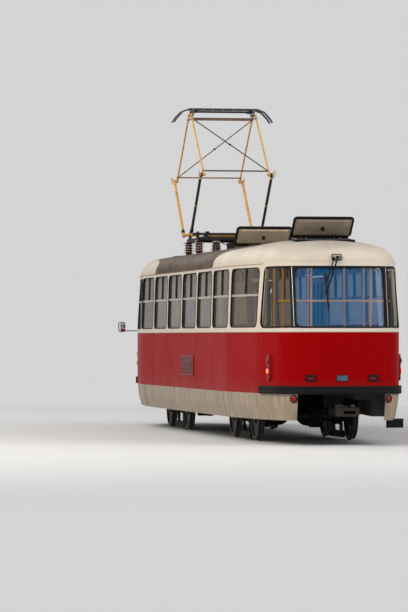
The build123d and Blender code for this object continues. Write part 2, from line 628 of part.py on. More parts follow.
for end, name in ((1, "front"), (-1, "rear")):
    foot_x = PANTO_X + end * BASE_HALF
    knee_x = PANTO_X + end * KNEE_HALF
    top_x = PANTO_X + end * TOP_HALF
    arm = across(foot_x, PANTO_BASE_Z, -ARM_Y - 20, ARM_Y + 20, SHAFT_R)
    for hand in (1, -1):
        y = hand * ARM_Y
        arm += rod((foot_x, y, PANTO_BASE_Z), (knee_x, y, KNEE_UP), LOWER_TUBE_R)
        arm += across(foot_x, PANTO_BASE_Z, y - 27, y + 27, SHAFT_R + 14)
        arm += across(knee_x, KNEE_UP, y - 26, y + 26, 32)
        arm += across(knee_x, KNEE_UP, hand * (UPPER_Y - 30), y, PIVOT_R)
    keep(f"lower_arm_{name}", arm)
    arm = Part()
    brace_a = 0.06
    brace_b = 0.94
    for hand in (1, -1):
        y = hand * UPPER_Y
        arm += rod((knee_x, y, KNEE_UP), (top_x, y, TOP_UP), UPPER_TUBE_R)
        arm += across(knee_x, KNEE_UP, y - 17, y + 17, 28)
        arm += across(top_x, TOP_UP, y - 15, y + 15, 24)
    for share in (brace_a, brace_b):
        x = knee_x + (top_x - knee_x) * share
        z = KNEE_UP + (TOP_UP - KNEE_UP) * share
        arm += across(x, z, -UPPER_Y, UPPER_Y, 12)
    xa = knee_x + (top_x - knee_x) * brace_a
    za = KNEE_UP + (TOP_UP - KNEE_UP) * brace_a
    xb = knee_x + (top_x - knee_x) * brace_b
    zb = KNEE_UP + (TOP_UP - KNEE_UP) * brace_b
    arm += rod((xa, UPPER_Y * end, za), (xb, -UPPER_Y * end, zb), 10)
    arm -= across(knee_x, KNEE_UP, -900, 900, PIVOT_R + PIVOT_CLEAR)
    open_gap = PIVOT_CLEAR if end == 1 else 4.0
    arm -= across(top_x, TOP_UP, -900, 900, 10 + open_gap)
    keep(f"upper_arm_{name}", arm)
HEAD_UP = 115
head = Part()
for hand in (1, -1):
    y = hand * HEAD_Y
    plate = box(PANTO_X - 150, PANTO_X + 150, y - 6, y + 6, TOP_UP - 22, TOP_UP + 22)
    for end in (1, -1):
        x = PANTO_X + end * TOP_HALF
        plate += across(x, TOP_UP, y - 6, hand * (UPPER_Y + 22), 10) if hand == 1 else across(
            x, TOP_UP, -UPPER_Y - 22, y + 6, 10)
        plate += box(x - 10, x + 10, y - 6, y + 6, TOP_UP, TOP_UP + HEAD_UP - 20)
    head += plate
for end in (1, -1):
    x = PANTO_X + end * TOP_HALF
    head += across(x, TOP_UP + 60, -HEAD_Y, HEAD_Y, 9)
    top = HEAD_UP - 13
    outer_line = [(-880, top - 225), (-832, top - 145), (-726, top - 34), (-602, top + 13)]
    inner_line = [(-858, top - 232), (-808, top - 160), (-712, top - 58), (-598, top - 13)]
    points = outer_line + [(-y, z) for y, z in reversed(outer_line)]
    points += [(-y, z) for y, z in inner_line] + list(reversed(inner_line))
    face = make_face(Polyline(*points, close=True))
    plane = Plane(origin=(x - 22, 0, TOP_UP), x_dir=(0, 1, 0), z_dir=(1, 0, 0))
    head += extrude(plane * face, 44)
keep("collector_head", head)
print("pantograph", round(math.degrees(THETA), 3), round(math.degrees(PHI), 3), round(KNEE_UP, 1), round(TOP_UP, 1))

# Seats stand in a row along each wall
SEAT_WIDE = 430
SEAT_OFF_WALL = 25
SEAT_LEFT = [-4600 + 760 * i for i in range(12)]
SEAT_RIGHT = [-3950, -3190, -2430, -1670, -910, 2000, 2760, 3520]
SEAT_SIDE = [
    (-210, 410), (170, 410), (215, 395), (225, 410), (180, 445), (-150, 440), (-175, 470), (-235, 880), (-270, 878),
    (-215, 450),
]


def seat(x, y, wide, high):
    """Seat shell on a post, facing forward."""
    face = make_face(Polyline(*[(px, pz + high) for px, pz in SEAT_SIDE], close=True))
    shell = extrude(Plane.XZ * face, wide / 2, both=True)
    shell = fillet([e for e in shell.edges() if abs(e.tangent_at(0.5).Y) < 0.1 and e.center().Z > high + 860], 60)
    post = Pos(0, 0, 4) * Cylinder(30, 410 + high - 4, align=(Align.CENTER, Align.CENTER, Align.MIN))
    foot = Cylinder(110, 8, align=(Align.CENTER, Align.CENTER, Align.MIN))
    return Pos(x, y, FLOOR_TOP) * (shell + post + foot)


rows = []
for side, places in ((1, SEAT_LEFT), (-1, SEAT_RIGHT)):
    for x in places:
        y = side * (body_half(abs(x) + 250) - WALL - SEAT_OFF_WALL - SEAT_WIDE / 2)
        rows.append(seat(x, y, SEAT_WIDE, 0))
keep("seats", Compound(children=[s for r in rows for s in r.solids()]))
keep("driver_seat", seat(5700, 180, 460, 90))

# Driver's desk and the wall behind the driver
inside = plan_slab(WALL, FLOOR_TOP, LEAN_FROM - 1)
desk = box(6380, 7000, -1000, 1000, 1530, 1580) + box(6760, 6800, -1000, 1000, FLOOR_TOP, 1540)
desk += box(6380, 6420, -700, 700, 1440, 1531)
keep("driver_desk", desk & inside)
PARTITION_X = 5170
wall = box(PARTITION_X, PARTITION_X + 30, -330, 1200, FLOOR_TOP, 2640) & plan_body(WALL, FLOOR_TOP, DRIP)
pane = Pos(0, 0) * RectangleRounded(1050, 760, 60)
plane = Plane(origin=(PARTITION_X - 50, 360, 2180), x_dir=(0, 1, 0), z_dir=(1, 0, 0))
keep("cab_partition", wall - extrude(plane * pane, 150))

# Handrails: poles from floor to ceiling and rails along the saloon
RAIL_R = 16
RAIL_Y = 620
RAIL_Z = 2790
REAR_RAIL_X = -6420
REAR_RAIL_Z = 2107 + FLANGE
long_rails = []
poles = []
for side in (1, -1):
    long_rails.append(rod((-5700, side * RAIL_Y, RAIL_Z), (4900, side * RAIL_Y, RAIL_Z), RAIL_R))
    for x in (-5600, -4180, -1330, -130, 1610, 4360, 4850):
        poles.append(rod((x, side * RAIL_Y, FLOOR_TOP), (x, side * RAIL_Y, 3000), RAIL_R))
for y in (350, -550):
    poles.append(rod((REAR_RAIL_X, y, FLOOR_TOP), (REAR_RAIL_X, y, 2890), RAIL_R))
long_rails.append(rod((REAR_RAIL_X, -840, REAR_RAIL_Z), (REAR_RAIL_X, 840, REAR_RAIL_Z), RAIL_R))
gaps = [rod((-5700, side * RAIL_Y, RAIL_Z), (4900, side * RAIL_Y, RAIL_Z), RAIL_R + SEAM) for side in (1, -1)]
gaps.append(rod((REAR_RAIL_X, -840, REAR_RAIL_Z), (REAR_RAIL_X, 840, REAR_RAIL_Z), RAIL_R + SEAM))
poles = [pole - gaps for pole in poles]
ties = []
for side in (1, -1):
    tie = rod((REAR_RAIL_X, side * 800, REAR_RAIL_Z), (-5600, side * RAIL_Y, REAR_RAIL_Z), 12)
    tie -= gaps
    tie -= rod((-5600, side * RAIL_Y, FLOOR_TOP), (-5600, side * RAIL_Y, 3000), RAIL_R + SEAM)
    ties.append(tie.solids().sort_by(SortBy.VOLUME)[-1])
rails = [s - roof for bar in long_rails + poles + ties for s in bar.solids()]
keep("handrails", Compound(children=[s for bar in rails for s in bar.solids()]))

# Lamps, reflectors and fittings on the shell
HEADLAMP_R = 102
HEADLAMP_X = 7014
HEADLAMP_Y = 556
HEADLAMP_Z = 1120 + FLANGE
LENS_R = 88
LENS_RISE = 17
LENS_OUT = 8
BEZEL = 12
ball = (LENS_R ** 2 + LENS_RISE ** 2) / (2 * LENS_RISE)
tip = HEADLAMP_X + LENS_OUT
rim = tip - LENS_RISE
middle = tip - ball + math.sqrt(ball ** 2 - LENS_R ** 2 / 4)
shell = Polyline((tip, 0), (6900, 0), (6900, HEADLAMP_R), (HEADLAMP_X, HEADLAMP_R), (HEADLAMP_X, HEADLAMP_R - BEZEL),
                 (rim, HEADLAMP_R - BEZEL), (rim, LENS_R))
lens = ThreePointArc((rim, LENS_R), (middle, LENS_R / 2), (tip, 0))
lamp = revolve(make_face([shell, lens]), Axis.X)
lamps = [Pos(0, hand * HEADLAMP_Y, HEADLAMP_Z) * lamp - outer for hand in (1, -1)]
keep("headlamps", Compound(children=[s for one in lamps for s in one.solids()]))
pods = []
pod_skin = plan_slab(-30, 940, 1400) - plan_slab(0, 930, 1410)
for end, z0, z1 in ((1, 1052, 1362), (-1, 952, 1342)):
    face = Pos(end * 6420, (z0 + z1) / 2) * RectangleRounded(104, z1 - z0, 48)
    pods.append(pod_skin & extrude(Plane.XZ * face, 1400, both=True))
keep("corner_lamps", Compound(children=[s for p in pods for s in p.solids()]))
disc_skin = skirt_solid(-9) - skirt_solid(0)
discs = []
for hand in (1, -1):
    discs.append(disc_skin & rod((-6700, hand * 708, 667 + FLANGE), (-7200, hand * 708, 667 + FLANGE), 47))
keep("reflectors", Compound(children=[s for d in discs for s in d.solids()]))
hood = box(6150, 6790, -645, 645, DRIP + 15, 2967)
hood = fillet([e for e in hood.edges() if abs(e.tangent_at(0.5).X) > 0.9 and e.center().Z > 2900], 60)
SIGN_DEEP = 6
hood -= box(6790 - SIGN_DEEP, 6800, -560, 560, 2748, 2926)
keep("destination_box", hood - roof_out)
VENT = (-1290, -20, 972, 1302)
vent = box(VENT[0], VENT[1], 1250, 1264, VENT[2], VENT[3])
vent -= box(VENT[0] + 20, VENT[1] - 20, 1240, 1300, VENT[2] + 20, VENT[3] - 20)
SLATS = 10
for i in range(SLATS):
    z = VENT[2] + 20 + (i + 0.5) * (VENT[3] - VENT[2] - 40) / SLATS
    slat = Rot(-35, 0, 0) * Box(VENT[1] - VENT[0] - 36, 24, 4)
    vent += Pos((VENT[0] + VENT[1]) / 2, 1259, z) * slat
vent = vent & box(-1400, 100, 1250, 1268, 900, 1400)
keep("side_vent", vent)

mirror = box(6300, 6320, -1475, -1325, 2092, 2512)
mirror = fillet([e for e in mirror.edges() if abs(e.tangent_at(0.5).X) > 0.9], 40)
mirror += rod((6310, -1400, 2500), (6310, -1400, 2640), 11) + rod((6310, -1400, 2640), (6080, -880, 2735), 11)
small = box(6700, 6716, 1195, 1325, 1690, 1870)
small = fillet([e for e in small.edges() if abs(e.tangent_at(0.5).X) > 0.9], 30)
small += rod((6708, 1260, 1710), (6500, 840, 1710), 8)
keep("mirrors", Compound(children=[s for m in (mirror - roof_out - outer, small - outer) for s in m.solids()]))


def glass_x(z, out):
    """Nose's distance from the middle at a height, plus a stand-off."""
    return BODY_LENGTH / 2 - NOSE_LEAN * lean_at(z) + out


wipers = Part()
wipers += box(-glass_x(2660, 14), -glass_x(2660, -30), 15, 105, 2625, 2680)
wipers += rod((-glass_x(2660, 8), 60, 2655), (-glass_x(2660, 40), 60, 2655), 16)
wipers += rod((-glass_x(2660, 34), 60, 2655), (-glass_x(2330, 30), 215, 2330), 7)
wipers += rod((-glass_x(2560, 22), 235, 2560), (-glass_x(2080, 22), 200, 2080), 9)
for hand in (1, -1):
    wipers += rod((6940, hand * 340, 1708), (glass_x(1708, 36), hand * 340, 1708), 18)
    wipers += rod((glass_x(1708, 30), hand * 340, 1708), (glass_x(1708, -23), hand * 620, 1778), 7)
    wipers += rod((glass_x(1740, 30), hand * 400, 1765), (glass_x(1790, -45), hand * 800, 1790), 9)
keep("wipers", wipers - outer - plan_body(0, RED_LOW, DRIP))

gear = Part()
for x, y, radius, high in ((1900, 330, 60, 240), (1620, -320, 45, 170)):
    gear += Pos(x, y, 2990) * Cylinder(radius, high + 50, align=(Align.CENTER, Align.CENTER, Align.MIN))
gear += box(1450, 1800, -160, 160, 2990, 3190)
keep("roof_equipment", Compound(children=[s for s in (gear - roof_out).solids()]))

UNDER_LOW = 450 + FLANGE
CASE_RIB = 8
CASE_PITCH = 140
cases = []
for x0, x1, y0, y1 in ((-1550, -350, 450, 1000), (150, 1560, 450, 1000), (-1550, -300, -1000, -450), (-1560, 1560, -260, 260)):
    case = box(x0, x1, y0, y1, UNDER_LOW, BOLSTER_LOW)
    case = fillet(case.faces().sort_by(Axis.Z)[0].edges(), 20)
    count = int((x1 - x0 - 100) / CASE_PITCH)
    for i in range(count + 1):
        x = (x0 + x1) / 2 + (i - count / 2) * CASE_PITCH
        case += box(x - 8, x + 8, y0 - CASE_RIB, y1 + CASE_RIB, UNDER_LOW + 35, BOLSTER_LOW - 40)
    cases.append(case)
keep("underfloor_boxes", Compound(children=[s for c in cases for s in c.solids()]))
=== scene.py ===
import bpy
import bmesh
import math
from mathutils import Matrix, Vector


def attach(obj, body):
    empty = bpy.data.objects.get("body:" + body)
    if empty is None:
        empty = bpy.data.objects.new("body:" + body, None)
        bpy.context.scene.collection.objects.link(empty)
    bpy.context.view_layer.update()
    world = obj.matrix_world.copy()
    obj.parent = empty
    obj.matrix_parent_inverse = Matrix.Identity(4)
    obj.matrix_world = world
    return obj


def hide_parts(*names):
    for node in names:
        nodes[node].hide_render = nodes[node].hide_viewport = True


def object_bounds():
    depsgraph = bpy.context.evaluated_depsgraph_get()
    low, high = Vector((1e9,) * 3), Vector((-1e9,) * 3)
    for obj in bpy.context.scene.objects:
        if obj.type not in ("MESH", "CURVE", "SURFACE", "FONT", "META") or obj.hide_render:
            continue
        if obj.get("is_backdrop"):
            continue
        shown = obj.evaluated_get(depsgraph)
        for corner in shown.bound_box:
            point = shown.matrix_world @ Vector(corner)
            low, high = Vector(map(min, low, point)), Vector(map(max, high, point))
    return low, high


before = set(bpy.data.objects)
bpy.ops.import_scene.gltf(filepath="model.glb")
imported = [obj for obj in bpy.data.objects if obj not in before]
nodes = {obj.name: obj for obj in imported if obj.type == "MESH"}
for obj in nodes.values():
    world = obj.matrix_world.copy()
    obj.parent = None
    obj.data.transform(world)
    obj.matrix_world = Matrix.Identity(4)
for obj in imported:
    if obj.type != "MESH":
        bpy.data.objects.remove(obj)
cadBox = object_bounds()
print("frame loaded", len(nodes))

# Sizes that the pieces share, in metres
car = {"leanFrom": 1.664, "drip": 2.686, "roofTop": 3.072, "crown": 4, "domeFrom": 5.15, "dome": 5.6,
       "floor": 0.922, "redLow": 0.762, "lampX": 6.42}
planLines = [(0, 7, 0.215), (6.3, 6.9909, 0.21), (75.96, 2.5009, 0.075), (83.93, 1.7046, 0.038),
             (90, 1.25, 0.03)]                    # bearing, reach and lean of each face of the plan
planRounds = [1.4, 0.4, 2.4, 3]
floor = car["floor"]
bench = {"mesh": bmesh.new()}


# Mesh helpers: each part is made on its own and joined to the mesh on the bench, which newPiece takes
def joinPart(part, slot=0):
    for face in part.faces:
        face.material_index = slot
    mesh = bpy.data.meshes.new("part")
    part.to_mesh(mesh)
    part.free()
    bench["mesh"].from_mesh(mesh)
    bpy.data.meshes.remove(mesh)


def newPiece(name, mats, body="car_body", angle=35):
    bm, bench["mesh"] = bench["mesh"], bmesh.new()
    bmesh.ops.recalc_face_normals(bm, faces=bm.faces)
    mesh = bpy.data.meshes.new(name)
    bm.to_mesh(mesh)
    bm.free()
    piece = bpy.data.objects.new(name, mesh)
    bpy.context.scene.collection.objects.link(piece)
    for mat in mats.split():
        mesh.materials.append(bpy.data.materials[mat])
    mesh.polygons.foreach_set("use_smooth", [True] * len(mesh.polygons))
    mesh.set_sharp_from_angle(angle=math.radians(angle))
    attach(piece, body)
    return piece


def edgeLine(part, points, closed=False):
    verts = [part.verts.new(p) for p in points]
    return [part.edges.new(pair) for pair in zip(verts, verts[1:] + (verts[:1] if closed else []))]


def freshVerts(result):
    return [v for v in result["geom"] if isinstance(v, bmesh.types.BMVert)]


def thicken(part, thick):
    bmesh.ops.recalc_face_normals(part, faces=part.faces)
    bmesh.ops.solidify(part, geom=part.faces[:], thickness=thick)


def bevelEdges(part, edges, width, segments=2):
    bmesh.ops.bevel(part, geom=edges, offset=width, segments=segments, profile=0.5, affect="EDGES",
                    material=-1)


def addBlock(low, high, bevel=0, slot=0, turn=None, segments=2, place=None):
    # in its own place, as on a door leaf, a block keeps the bevel as given
    part = bmesh.new()
    bmesh.ops.create_cube(part, size=1)
    size = [max(abs(h - l), 1e-4) for l, h in zip(low, high)]
    bmesh.ops.scale(part, vec=size, verts=part.verts)
    if bevel:
        bevelEdges(part, part.edges[:], bevel if place else min(bevel, min(size) * 0.45), segments)
    if turn:
        bmesh.ops.rotate(part, cent=(0, 0, 0), matrix=turn, verts=part.verts)
    bmesh.ops.translate(part, vec=[(l + h) / 2 for l, h in zip(low, high)], verts=part.verts)
    if place:
        bmesh.ops.transform(part, matrix=place, verts=part.verts)
    joinPart(part, slot)


def addPad(x, y, z0, z1, halfX, halfY, bevel=0, slot=0):
    addBlock((x - halfX, y - halfY, z0), (x + halfX, y + halfY, z1), bevel, slot)


def addLump(middle, halves, bevel=0, slot=0):
    addBlock(Vector(middle) - Vector(halves), Vector(middle) + Vector(halves), bevel, slot)


def placeAlong(start, end):
    way = Vector(end) - Vector(start)
    return Matrix.Translation(Vector(start)) @ way.to_track_quat("Z", "Y").to_matrix().to_4x4(), way.length


def addRod(start, end, radius, sides=14, slot=0, bevel=0):
    part = bmesh.new()
    place, long = placeAlong(start, end)
    bmesh.ops.create_cone(part, cap_ends=True, segments=sides, radius1=radius, radius2=radius, depth=long)
    if bevel:
        bevelEdges(part, [e for e in part.edges if abs(e.verts[0].co.z - e.verts[1].co.z) < 1e-6], bevel)
    bmesh.ops.translate(part, vec=(0, 0, long / 2), verts=part.verts)
    bmesh.ops.transform(part, matrix=place, verts=part.verts)
    joinPart(part, slot)


def addTurned(profile, start, sides=28, slot=0, way=(0, 0, 1)):
    # (radius, height) pairs spun round a line from start
    part = bmesh.new()
    edges = edgeLine(part, [(max(r, 1e-5), 0, h) for r, h in profile])
    bmesh.ops.spin(part, geom=part.verts[:] + edges, cent=(0, 0, 0), axis=(0, 0, 1), angle=math.tau,
                   steps=sides, use_merge=True)
    bmesh.ops.remove_doubles(part, verts=part.verts, dist=2e-5)
    holes = [e for e in part.edges if e.is_boundary]
    if holes:
        bmesh.ops.holes_fill(part, edges=holes, sides=0)
    bmesh.ops.transform(part, matrix=placeAlong(start, Vector(start) + Vector(way))[0], verts=part.verts)
    joinPart(part, slot)


def turnAt(spot, profile, sides, slot=0):
    # turned round the normal of a place on the wall
    addTurned(profile, spot[0], sides, slot, spot[1])


def disc(radius, high, inner=0):
    # the profile of a flat disc, or of a washer where inner is given
    return [(inner, 0), (radius, 0), (radius, high), (inner, high)] + ([(inner, 0)] if inner else [])


def addTube(points, radius, slot=0, smooth=False, fine=2):
    curve = bpy.data.curves.new("line", "CURVE")
    curve.dimensions = "3D"
    spline = curve.splines.new("NURBS" if smooth else "POLY")
    spline.points.add(len(points) - 1)
    for knot, p in zip(spline.points, points):
        knot.co = (*p, 1)
    if smooth:
        spline.order_u = 3
        spline.use_endpoint_u = True
        curve.resolution_u = 5
    curve.bevel_depth = radius
    curve.bevel_resolution = fine
    curve.use_fill_caps = True
    holder = bpy.data.objects.new("line", curve)
    mesh = bpy.data.meshes.new_from_object(holder)
    part = bmesh.new()
    part.from_mesh(mesh)
    bmesh.ops.remove_doubles(part, verts=part.verts, dist=1e-5)
    bpy.data.objects.remove(holder)
    bpy.data.curves.remove(curve)
    bpy.data.meshes.remove(mesh)
    joinPart(part, slot)


def addCoil(start, end, radius, wire, turns, slot=0, steps=12):
    place, long = placeAlong(start, end)
    spots = [(math.tau * k / steps, long * k / (turns * steps)) for k in range(turns * steps + 1)]
    addTube([place @ Vector((radius * math.cos(a), radius * math.sin(a), h)) for a, h in spots], wire, slot,
            fine=1)


def boltRing(middle, way, radius, count, slot, size=0.01, high=0.008):
    place = placeAlong(middle, Vector(middle) + Vector(way))[0]
    for k in range(count):
        a = math.tau * k / count
        foot = place @ Vector((radius * math.cos(a), radius * math.sin(a), 0))
        addRod(foot, foot + Vector(way) * high, size, 6, slot, bevel=0.0012)


def addLoops(loops, slot=0, hollow=True):
    # edges extruded from one line of points to the next: a closed section, or a plug with filled ends
    part = bmesh.new()
    edges = edgeLine(part, loops[0], True)
    ring = {v: i for i, v in enumerate(part.verts)}
    if not hollow:
        bmesh.ops.contextual_create(part, geom=edges)
    for line in loops[1:] + (loops[:1] if hollow else []):
        fresh = freshVerts(bmesh.ops.extrude_edge_only(part, edges=edges))
        ring = {v: next(ring[e.other_vert(v)] for e in v.link_edges if e.other_vert(v) in ring)
                for v in fresh}
        for v, i in ring.items():
            v.co = line[i]
        edges = list({e for v in fresh for e in v.link_edges if e.other_vert(v) in ring})
    if hollow:
        bmesh.ops.remove_doubles(part, verts=part.verts, dist=2e-6)
    else:
        bmesh.ops.contextual_create(part, geom=edges)
    joinPart(part, slot)


def roundedLoop(rect, radii, grow=0, steps=6):
    # corner order: low-low, high-low, high-high, low-high
    u0, u1, v0, v1 = rect[0] - grow, rect[1] + grow, rect[2] - grow, rect[3] + grow
    if not isinstance(radii, list):
        radii = [max(radii + grow, 0.001)] * 4
    points = []
    for u, v, su, sv, r, first in zip((u0, u1, u1, u0), (v0, v0, v1, v1), (1, -1, -1, 1), (1, 1, -1, -1),
                                      radii, (180, 270, 0, 90)):
        for k in range(steps + 1):
            a = math.radians(first + 90 * k / steps)
            points.append((u + su * r + r * math.cos(a), v + sv * r + r * math.sin(a)))
    return points


def denser(loop, longest, like=None):
    # long sides are divided; with like given, into as many steps as that loop's
    out = []
    like = like or loop
    for (ua, va), (ub, vb), (uc, vc), (ud, vd) in zip(loop, loop[1:] + loop[:1], like, like[1:] + like[:1]):
        count = max(1, int(math.hypot(ud - uc, vd - vc) / longest))
        out += [(ua + (ub - ua) * k / count, va + (vb - va) * k / count) for k in range(count)]
    return out


# Plan of the body, as in the solids: a ring of points at an inset and a share of the lean
def planQuarter(inset, lean, steps):
    faces = [(math.radians(turn), out - inset - tip * lean) for turn, out, tip in planLines]
    points = []
    for (a1, d1), (a2, d2), plainRound, count in zip(faces, faces[1:], planRounds, steps):
        det = math.sin(a2 - a1)
        x, y = (d1 * math.sin(a2) - d2 * math.sin(a1)) / det, (d2 * math.cos(a1) - d1 * math.cos(a2)) / det
        r = plainRound - inset
        reach = r / math.cos((a2 - a1) / 2)
        mid = (a1 + a2) / 2
        cx, cy = x - reach * math.cos(mid), y - reach * math.sin(mid)
        for k in range(count + 1):
            a = a1 + (a2 - a1) * k / count
            points.append((cx + r * math.cos(a), cy + r * math.sin(a), a))
    return points


def wallPoint(z, out=0, x=None, y=None, end=1, hand=1, reach=None):
    # a point of the outer wall found by its x, its y, or its run along the plan from the nose's middle
    lean = max(0, (z - car["leanFrom"]) / (car["drip"] - car["leanFrom"]))
    tuck = 0                                      # how far the skirts stand in below the body side
    if z < car["redLow"]:
        tuck = 0.02 * (car["redLow"] - z) / 0.19 if z > 0.572 else 0.02 + 0.05 * (0.572 - z) / 0.2
    line = [(planLines[0][1] - planLines[0][2] * lean - tuck, 0, 0)]
    line = line + planQuarter(tuck, lean, (3, 24, 5, 6))
    line.append((0, line[-1][1], math.pi / 2))
    run = 0
    for (xa, ya, aa), (xb, yb, ab) in zip(line, line[1:]):
        step = math.hypot(xb - xa, yb - ya)
        if x is not None:
            first, last, wanted = -xa, -xb, -abs(x)
        elif y is not None:
            first, last, wanted = ya, yb, abs(y)
        else:
            first, last, wanted = run, run + step, reach
        t = (wanted - first) / (last - first) if last != first else 0
        if first <= wanted <= last:
            break
        run += step
    t = min(max(t, 0), 1)
    px, py, a = xa + (xb - xa) * t, ya + (yb - ya) * t, aa + (ab - aa) * t
    slope = (0.21 * math.cos(a) + 0.03 * math.sin(a)) if z > car["leanFrom"] else 0
    normal = Vector((end * math.cos(a), hand * math.sin(a), slope)).normalized()
    return Vector((end * px, hand * py, z)) + normal * out, normal, run + step * t


def endSpot(end, y, z, out=0):
    return wallPoint(z, out, y=y, end=end, hand=1 if y >= 0 else -1)


def sideSpot(side, x, z, out=0):
    return wallPoint(z, out, x=x, end=1 if x >= 0 else -1, hand=side)


def runAt(z, x):
    return wallPoint(z, x=x)[2]


def wallLoop(spotOf, which, rect, radius, out, grow=0, longest=0.06, steps=6):
    # a rounded rectangle laid on an end (spotOf endSpot) or a side (sideSpot), out from the wall
    flat = denser(roundedLoop(rect, radius, grow, steps), longest, roundedLoop(rect, radius, 0, steps))
    return [spotOf(which, u, z, out)[0] for u, z in flat]


def laid(spotOf, which, flat, outs, slot=0):
    # a thin plate over a flat outline, between two distances from the wall
    addLoops([[spotOf(which, u, z, out)[0] for u, z in flat] for out in outs], slot, hollow=False)


def runPath(z, out, parts, step=0.12):
    # points along the wall at a height; parts are (end, hand, first run, last run)
    path = []
    for end, hand, first, last in parts:
        count = max(2, int(abs(last - first) / step))
        for k in range(count + 1):
            p = wallPoint(z, out, reach=first + (last - first) * k / count, end=end, hand=hand)[0]
            if not path or (p - path[-1]).length > 1e-4:
                path.append(p)
    return path


# Node helpers
def addNode(tree, kind, sockets, **settings):
    fresh = tree.nodes.new("ShaderNode" + kind)
    for key, value in settings.items():
        setattr(fresh, key, value)
    for key, value in sockets.items():
        socket = fresh.inputs[key]
        if isinstance(value, bpy.types.NodeSocket):
            tree.links.new(value, socket)
        else:
            socket.default_value = (*value, 1) if socket.type == "RGBA" else value
    return fresh


def wire(tree, kind, sockets, **settings):
    return addNode(tree, kind, sockets, **settings).outputs[0]


def sums(tree, operation, *values, clamp=False):
    return wire(tree, "Math", dict(enumerate(values)), operation=operation, use_clamp=clamp)


def ramp(tree, value, low, high, ends=(0.3, 0.7)):
    node = addNode(tree, "ValToRGB", {0: value})
    for element, place, colour in zip(node.color_ramp.elements, ends, (low, high)):
        element.position = place
        element.color = (*colour, 1)
    return node.outputs[0]


def mixColour(tree, factor, a, b):
    return addNode(tree, "Mix", {0: factor, 6: a, 7: b}, data_type="RGBA").outputs[2]


def toned(colour, share):
    return tuple(min(c * share, 1) for c in colour)


# Materials: each a small procedural tree on object coordinates
def material(name, base, rough=0.45, dirt=0.25, scale=2, metal=0, grain=0, coat=0, specular=None,
             glow=None, streak=False):
    mat = bpy.data.materials.new(name)
    mat.use_nodes = True
    tree = mat.node_tree
    shader = tree.nodes["Principled BSDF"]
    coords = addNode(tree, "TexCoord", {}).outputs["Object"]
    place = wire(tree, "Mapping", {"Vector": coords, "Scale": (6, 6, 0.5)}) if streak else coords
    noise = wire(tree, "TexNoise", {"Vector": place, "Scale": scale, "Detail": 6, "Roughness": 0.62})
    tree.links.new(ramp(tree, noise, toned(base, 1 - dirt), base, (0.3, 0.72)), shader.inputs["Base Color"])
    spread = {"Value": noise, "To Min": min(rough + 0.16, 1), "To Max": max(rough - 0.06, 0.02)}
    tree.links.new(wire(tree, "MapRange", spread), shader.inputs["Roughness"])
    shader.inputs["Metallic"].default_value = metal
    if coat:
        shader.inputs["Coat Weight"].default_value = coat
        shader.inputs["Coat Roughness"].default_value = 0.12
    if specular is not None:
        shader.inputs["Specular IOR Level"].default_value = specular
    if glow:
        shader.inputs["Emission Color"].default_value = (*glow[:3], 1)
        shader.inputs["Emission Strength"].default_value = glow[3]
    if grain:
        fine = wire(tree, "TexNoise", {"Vector": coords, "Scale": scale * 24, "Detail": 4})
        bump = wire(tree, "Bump", {"Height": fine, "Strength": grain, "Distance": 0.004})
        tree.links.new(bump, shader.inputs["Normal"])
    return mat


paints = {"red": (0.272, 0, 0.001), "cream": (0.585, 0.51, 0.415), "roofGrey": (0.088, 0.058, 0.037),
          "yellow": (0.72, 0.36, 0.06)}


def splitMaterial(name, first, second, normal, level, rough=0.45, absolute=False, metal=0):
    # first colour where the dot product of place and normal is under the level, second over it
    mat = material(name, first, rough, 0.3, 7, metal, 0.1)
    tree = mat.node_tree
    coords = tree.nodes["Texture Coordinate"].outputs["Object"]
    value = addNode(tree, "VectorMath", {0: coords, 1: normal}, operation="DOT_PRODUCT").outputs["Value"]
    if absolute:
        value = sums(tree, "ABSOLUTE", value)
    over = sums(tree, "GREATER_THAN", value, level)
    tone = ramp(tree, tree.nodes["Noise Texture"].outputs["Fac"], toned(second, 0.7), second)
    colour = mixColour(tree, over, tree.nodes["Color Ramp"].outputs["Color"], tone)
    tree.links.new(colour, tree.nodes["Principled BSDF"].inputs["Base Color"])
    return mat


